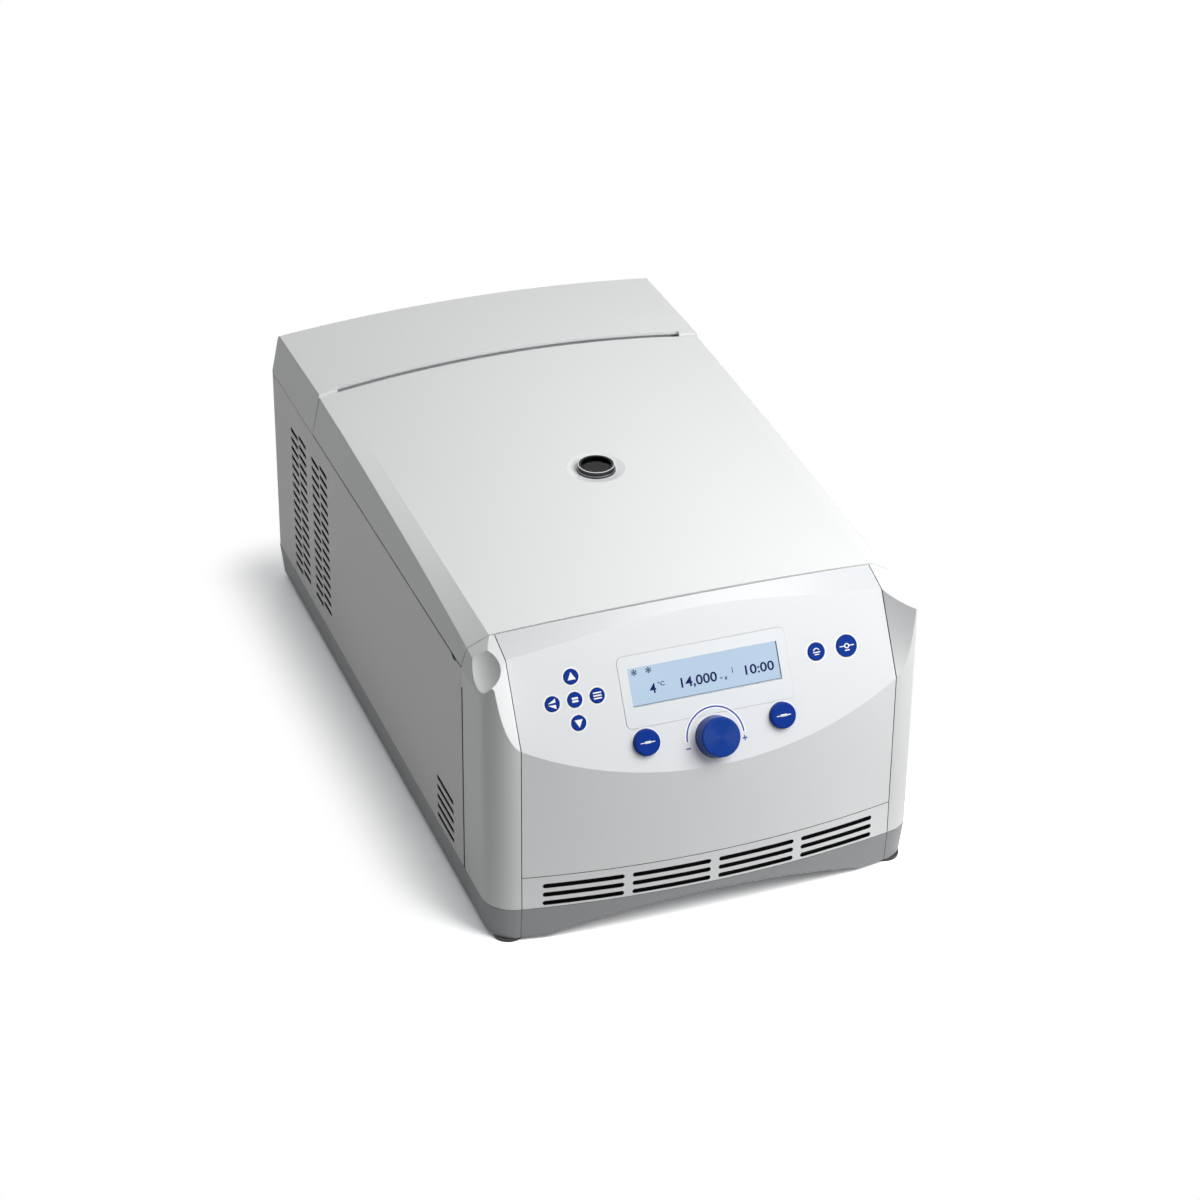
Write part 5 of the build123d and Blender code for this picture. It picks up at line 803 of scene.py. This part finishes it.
def set_words(name, words, left, low, width, height, body, place, material):
    """Sets words in the built-in font into a box in millimetres on a surface."""
    letters = bpy.data.curves.new(name + "_type", "FONT")
    letters.body = words
    letters.resolution_u = 4
    letters.offset = BOLDER
    setter = bpy.data.objects.new(name + "_type", letters)
    bpy.context.scene.collection.objects.link(setter)
    bpy.context.view_layer.update()
    mesh = bpy.data.meshes.new_from_object(setter)
    bpy.data.objects.remove(setter)
    mesh.name = name
    first, last = corners([v.co for v in mesh.vertices])
    size = last - first
    fit = Matrix.Diagonal((width * MM / size.x, height * MM / size.y, 1.0, 1.0))
    move = Matrix.Translation((left * MM, low * MM, INK * MM))
    mesh.transform(place @ move @ fit @ Matrix.Translation(-first))
    mesh.materials.clear()
    mesh.materials.append(material)
    piece = bpy.data.objects.new(name, mesh)
    bpy.context.scene.collection.objects.link(piece)
    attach(piece, body)
    return piece


shown_words = {
    "display_degrees_value": ("4", -48.6, -8.0, 5.4, 8.0),
    "display_degrees_unit": ("°C", -41.2, -3.2, 5.8, 3.6),
    "display_speed": ("14,000", -21.6, -9.6, 31.4, 9.6),
    "display_speed_unit": ("× g", 12.2, -8.4, 6.2, 2.9),
    "display_time": ("10:00", 34.6, -8.0, 25.4, 8.0),
}
for name, (words, left, low, width, height) in shown_words.items():
    set_words(name, words, left, SCREEN_MIDDLE + low, width, height, "housing", screen_place,
              crystal)


def snowflake(x, y, size):
    """Three crossing bars with a short cross stroke near each end."""
    strokes = [bar(x, y, size, 0.6, turn) for turn in (30, 90, 150)]
    for turn in range(30, 390, 60):
        reach = math.radians(turn)
        strokes.append(bar(x + 0.34 * size * math.cos(reach), y + 0.34 * size * math.sin(reach),
                           0.4, 0.34 * size, turn))
    return strokes


ICON_UP, ICON_SIZE = SCREEN_MIDDLE + 11.3, 5.4
divider = bar(23.7, SCREEN_MIDDLE - 1.8, 0.6, 4.6)
signs = [*snowflake(-59.6, ICON_UP, ICON_SIZE), *snowflake(-47.2, ICON_UP, ICON_SIZE), divider]
print_marks("display_signs", signs, screen_place, "housing", crystal)
print("display:", [round(v, 1) for v in (screen_low.x, screen_low.y, screen_high.x, screen_high.y)])

# %% [markdown]
# ## Place numbers on the rotor
# The places for tubes are numbered so that a load can be balanced by counting. Plain numbers
# ride on the rotor, level with its top and just inside its widest circle. The rotor slopes
# away under them there, so they stand clear of its surface.

# %% Rotor numbers
rotor_low, rotor_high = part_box("rotor")
rotor_middle = (rotor_low + rotor_high) / 2
PLACES, RIM_WIDTH, DIGIT_HEIGHT, DIGIT_WIDTH = 12, 6.0, 3.4, 1.9
rim_radius = (rotor_high.x - rotor_low.x) / 2 / MM - RIM_WIDTH / 2
rim = Matrix.Translation((rotor_middle.x, rotor_middle.y, rotor_high.z))
for place_number in range(1, PLACES + 1):
    turn = 2 * math.pi * (place_number - 1) / PLACES
    spot = rim @ Matrix.Rotation(turn - math.pi / 2, 4, "Z") @ Matrix.Translation((0, rim_radius * MM, 0))
    width = DIGIT_WIDTH * len(str(place_number))
    set_words(f"rotor_number_{place_number}", str(place_number), -width / 2, -DIGIT_HEIGHT / 2, width,
              DIGIT_HEIGHT, "rotor_set", spot, dark_ink_and_shade)
print("rotor numbers:", PLACES, "at radius", round(rim_radius, 1))

# %% [markdown]
# ## Dark mats behind the air slots
# A black foam mat hangs right behind the slots as painted shade, so the slots look black.
# Each side has a large mat at the rear and a small one in front, placed from the ends of the
# wall. The front grille has a mat that follows its curve, found from the grille's own ends and
# middle.

# %% Dark mats behind the slots
# Black foam sheets behind the slots, as painted shade.
slot_shade_foam = grained("Black foam for slot shade", "#17181A", 0.95, 1.6, 0.6, 0.25)
MAT, MAT_BEHIND, MAT_CLEAR = 2.0, 0.4, 1.5
REAR_MAT_INWARD, REAR_MAT_UP, REAR_MAT_SIZE = 118, 127, (130, 178)
FRONT_MAT_INWARD, FRONT_MAT_UP, FRONT_MAT_SIZE = 48, 63, (56, 52)
side_low, side_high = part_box("right_side_panel")
wall_mats = [bar(side_high.y / MM - REAR_MAT_INWARD, REAR_MAT_UP, *REAR_MAT_SIZE),
             bar(side_low.y / MM + FRONT_MAT_INWARD, FRONT_MAT_UP, *FRONT_MAT_SIZE)]
on_edge = Matrix.Rotation(math.pi / 2, 4, "Z") @ Matrix.Rotation(math.pi / 2, 4, "X")
near_wall = side_low.x - MAT_BEHIND * MM
for name, left in (("left_slot_shade_mats", -near_wall), ("right_slot_shade_mats", near_wall - MAT * MM)):
    stand = Matrix.Translation((left, 0, 0)) @ on_edge
    print_marks(name, wall_mats, stand, "housing", slot_shade_foam, MAT)
GRILLE_WALL, MAT_END = 6.0, 14.0
grille_low, grille_high = corners(grille_points)
curve = grille_axis[1] / MM
sweep = math.degrees(math.asin((grille_half / MM - MAT_END) / curve))
outline = band(curve - GRILLE_WALL - MAT, curve - GRILLE_WALL, 270 - sweep, 270 + sweep)
mat_height = (grille_high.z - grille_low.z) / MM - 2 * MAT_CLEAR
stand = Matrix.Translation((0, grille_axis[0], grille_low.z + MAT_CLEAR * MM))
print_marks("front_slot_shade_mat", [outline], stand, "housing", slot_shade_foam, mat_height)
print("slot shade mats: wall inside at", round(side_low.x / MM, 2), "grille curve", round(curve, 1))

# %% [markdown]
# ## Floor, light and camera
# The object stands on a pale studio sweep. The sweep is white to the camera, with the object's
# shadow on it, and a plain pale grey to everything else, so it adds no more light than paper
# would. A real studio lights the sweep by itself until it burns out, which leaves only the
# short shadow beside the object, so the floor glows white past that. One broad lamp from the
# front right gives the top its even light and leaves the left side in shade. A weak lamp from
# behind and the pale room keep the shadows open.

# %% Floor and room
WHITE_GAIN = 2.3
SHADOW_WIDTH = 0.08
FOOTPRINT = tuple(cad_box[1])
FLOOR_HALF = 14.0
FIBRES = 25
ROOM_LIGHT = 0.20


def seen_by_camera(holder):
    """Gives 1 to what the camera sees, also in a reflection or through glass."""
    path = add(holder, "LightPath")
    seen = path.outputs["Is Camera Ray"]
    for ray in ("Is Glossy Ray", "Is Transmission Ray"):
        seen = add(holder, "Math", {0: seen, 1: path.outputs[ray]}, operation="MAXIMUM").outputs[0]
    return seen


def white_sweep(name):
    """A floor that is pale paper to the object and white with a soft shadow to the camera."""
    material, output = empty_material(name)
    where = add(material, "TexCoord").outputs["Object"]
    fibre = add(material, "TexNoise", {"Scale": FIBRES, "Detail": 2.0})
    paper = add(material, "Mix", {"Factor": fibre.outputs["Fac"], 6: linear("#9C9C9B"),
                                  7: linear("#A1A1A0")}, data_type="RGBA")
    plain = add(material, "BsdfDiffuse", {"Color": paper.outputs[2]})
    bright = add(material, "BsdfDiffuse", {"Color": (WHITE_GAIN, WHITE_GAIN, WHITE_GAIN, 1.0)})
    aside = add(material, "VectorMath", {0: where}, operation="ABSOLUTE")
    past = add(material, "VectorMath", {0: aside.outputs[0], 1: FOOTPRINT}, operation="SUBTRACT")
    past = add(material, "VectorMath", {0: past.outputs[0], 1: (0, 0, 0)}, operation="MAXIMUM")
    away = add(material, "VectorMath", {0: past.outputs[0]}, operation="LENGTH")
    burnt = add(material, "MapRange", {"Value": away.outputs["Value"], "From Max": SHADOW_WIDTH},
                interpolation_type="SMOOTHSTEP")
    white = add(material, "Emission", {"Color": (1, 1, 1, 1), "Strength": 1.0})
    paper_seen = add(material, "MixShader", {0: burnt.outputs[0], 1: bright.outputs[0], 2: white.outputs[0]})
    mixed = add(material, "MixShader", {0: seen_by_camera(material), 1: plain.outputs[0],
                                        2: paper_seen.outputs[0]})
    material.node_tree.links.new(mixed.outputs[0], output.inputs["Surface"])
    return material


floor_mesh = bpy.data.meshes.new("studio_floor")
floor_corners = [(x * FLOOR_HALF, y * FLOOR_HALF, 0) for x, y in ((-1, -1), (1, -1), (1, 1), (-1, 1))]
floor_mesh.from_pydata(floor_corners, [], [(0, 1, 2, 3)])
floor_mesh.materials.append(white_sweep("White paper sweep"))
studio_floor = bpy.data.objects.new("studio_floor", floor_mesh)
bpy.context.scene.collection.objects.link(studio_floor)

room = bpy.data.worlds.new("Pale room")
bpy.context.scene.world = room
room.use_nodes = True
room.node_tree.nodes.clear()
room_light = add(room, "Background", {"Color": linear("#F4F6F8"), "Strength": ROOM_LIGHT})
room_white = add(room, "Background", {"Color": (1, 1, 1, 1), "Strength": 1.0})
room_mix = add(room, "MixShader", {0: seen_by_camera(room), 1: room_light.outputs[0],
                                   2: room_white.outputs[0]})
add(room, "OutputWorld", {"Surface": room_mix.outputs[0]})
print("floor", 2 * FLOOR_HALF, "m wide, room light", ROOM_LIGHT)

# %% [markdown]
# ### Lamps
# The key lamp is a softbox of 1.2 m, high up in front and a little to the right, 1.5 m from
# the lid. So near, its light falls off towards the back, which shows how long the lid is, and
# so wide, its shadows have soft edges. A far, weak lamp from behind lifts the back, and a
# white card low in front lifts the upright front wall, which the key lamp hardly reaches.

# %% Lamps
LID_MIDDLE = Vector((0.0, -0.05, 0.27))
KEY_DIRECTION = Vector((0.44, -0.545, 0.714)).normalized()
KEY_DISTANCE, KEY_WIDTH, KEY_POWER = 1.5, 1.2, 24.5
FAR_LAMPS = {"rear_window": ((0.10, 0.85, 0.50), 0.33, 60),
             "low_front_card": ((0.25, -0.95, 0.18), 0.25, 80)}


def aimed(name, lamp, direction):
    """Puts a lamp in the scene so that it shines from a direction."""
    holder = bpy.data.objects.new(name, lamp)
    bpy.context.scene.collection.objects.link(holder)
    holder.rotation_euler = Vector(direction).to_track_quat("Z", "Y").to_euler()
    return holder


softbox = bpy.data.lights.new("key_softbox", "AREA")
softbox.shape = "SQUARE"
softbox.size = KEY_WIDTH
softbox.energy = KEY_POWER
aimed("key_softbox", softbox, KEY_DIRECTION).location = LID_MIDDLE + KEY_DIRECTION * KEY_DISTANCE
for name, (direction, strength, width_in_degrees) in FAR_LAMPS.items():
    lamp = bpy.data.lights.new(name, "SUN")
    lamp.energy = strength
    lamp.angle = math.radians(width_in_degrees)
    aimed(name, lamp, direction)
print("lamps: softbox and", ", ".join(FAR_LAMPS))

# %% [markdown]
# ### Camera
# The view was found by fitting the photograph's edges: the camera stands a little to the left
# of the front, looks down on the lid, and is far off with a long lens, so that parallel edges
# hardly converge. Its small roll comes from the same fit.

# %% Camera
VIEW_AZIMUTH, VIEW_HEIGHT, VIEW_ROLL = (math.radians(a) for a in (-20.489, 31.61, 0.525))
VIEW_DISTANCE, VIEW_TARGET = 3.183, Vector((0.0207, 0.0150, 0.1111))
FOCAL_PIXELS, IMAGE_PIXELS, SENSOR = 3547.3, 1200, 36.0
back = Vector((math.sin(VIEW_AZIMUTH) * math.cos(VIEW_HEIGHT),
               -math.cos(VIEW_AZIMUTH) * math.cos(VIEW_HEIGHT),
               math.sin(VIEW_HEIGHT)))
level = Vector((math.cos(VIEW_AZIMUTH), math.sin(VIEW_AZIMUTH), 0))
upward = back.cross(level)
across = math.cos(VIEW_ROLL) * level + math.sin(VIEW_ROLL) * upward
upward = back.cross(across)
camera_lens = bpy.data.cameras.new("photo_view")
camera_lens.sensor_width = SENSOR
camera_lens.lens = SENSOR * FOCAL_PIXELS / IMAGE_PIXELS
camera_lens.clip_end = 100
camera = bpy.data.objects.new("photo_view", camera_lens)
bpy.context.scene.collection.objects.link(camera)
camera.matrix_world = Matrix.Translation(VIEW_TARGET + back * VIEW_DISTANCE) @ Matrix(
    (across, upward, back)).transposed().to_4x4()
bpy.context.scene.camera = camera
bpy.context.scene.view_settings.view_transform = "Standard"
print("camera at", tuple(round(v, 3) for v in camera.location), "lens", round(camera_lens.lens, 1))
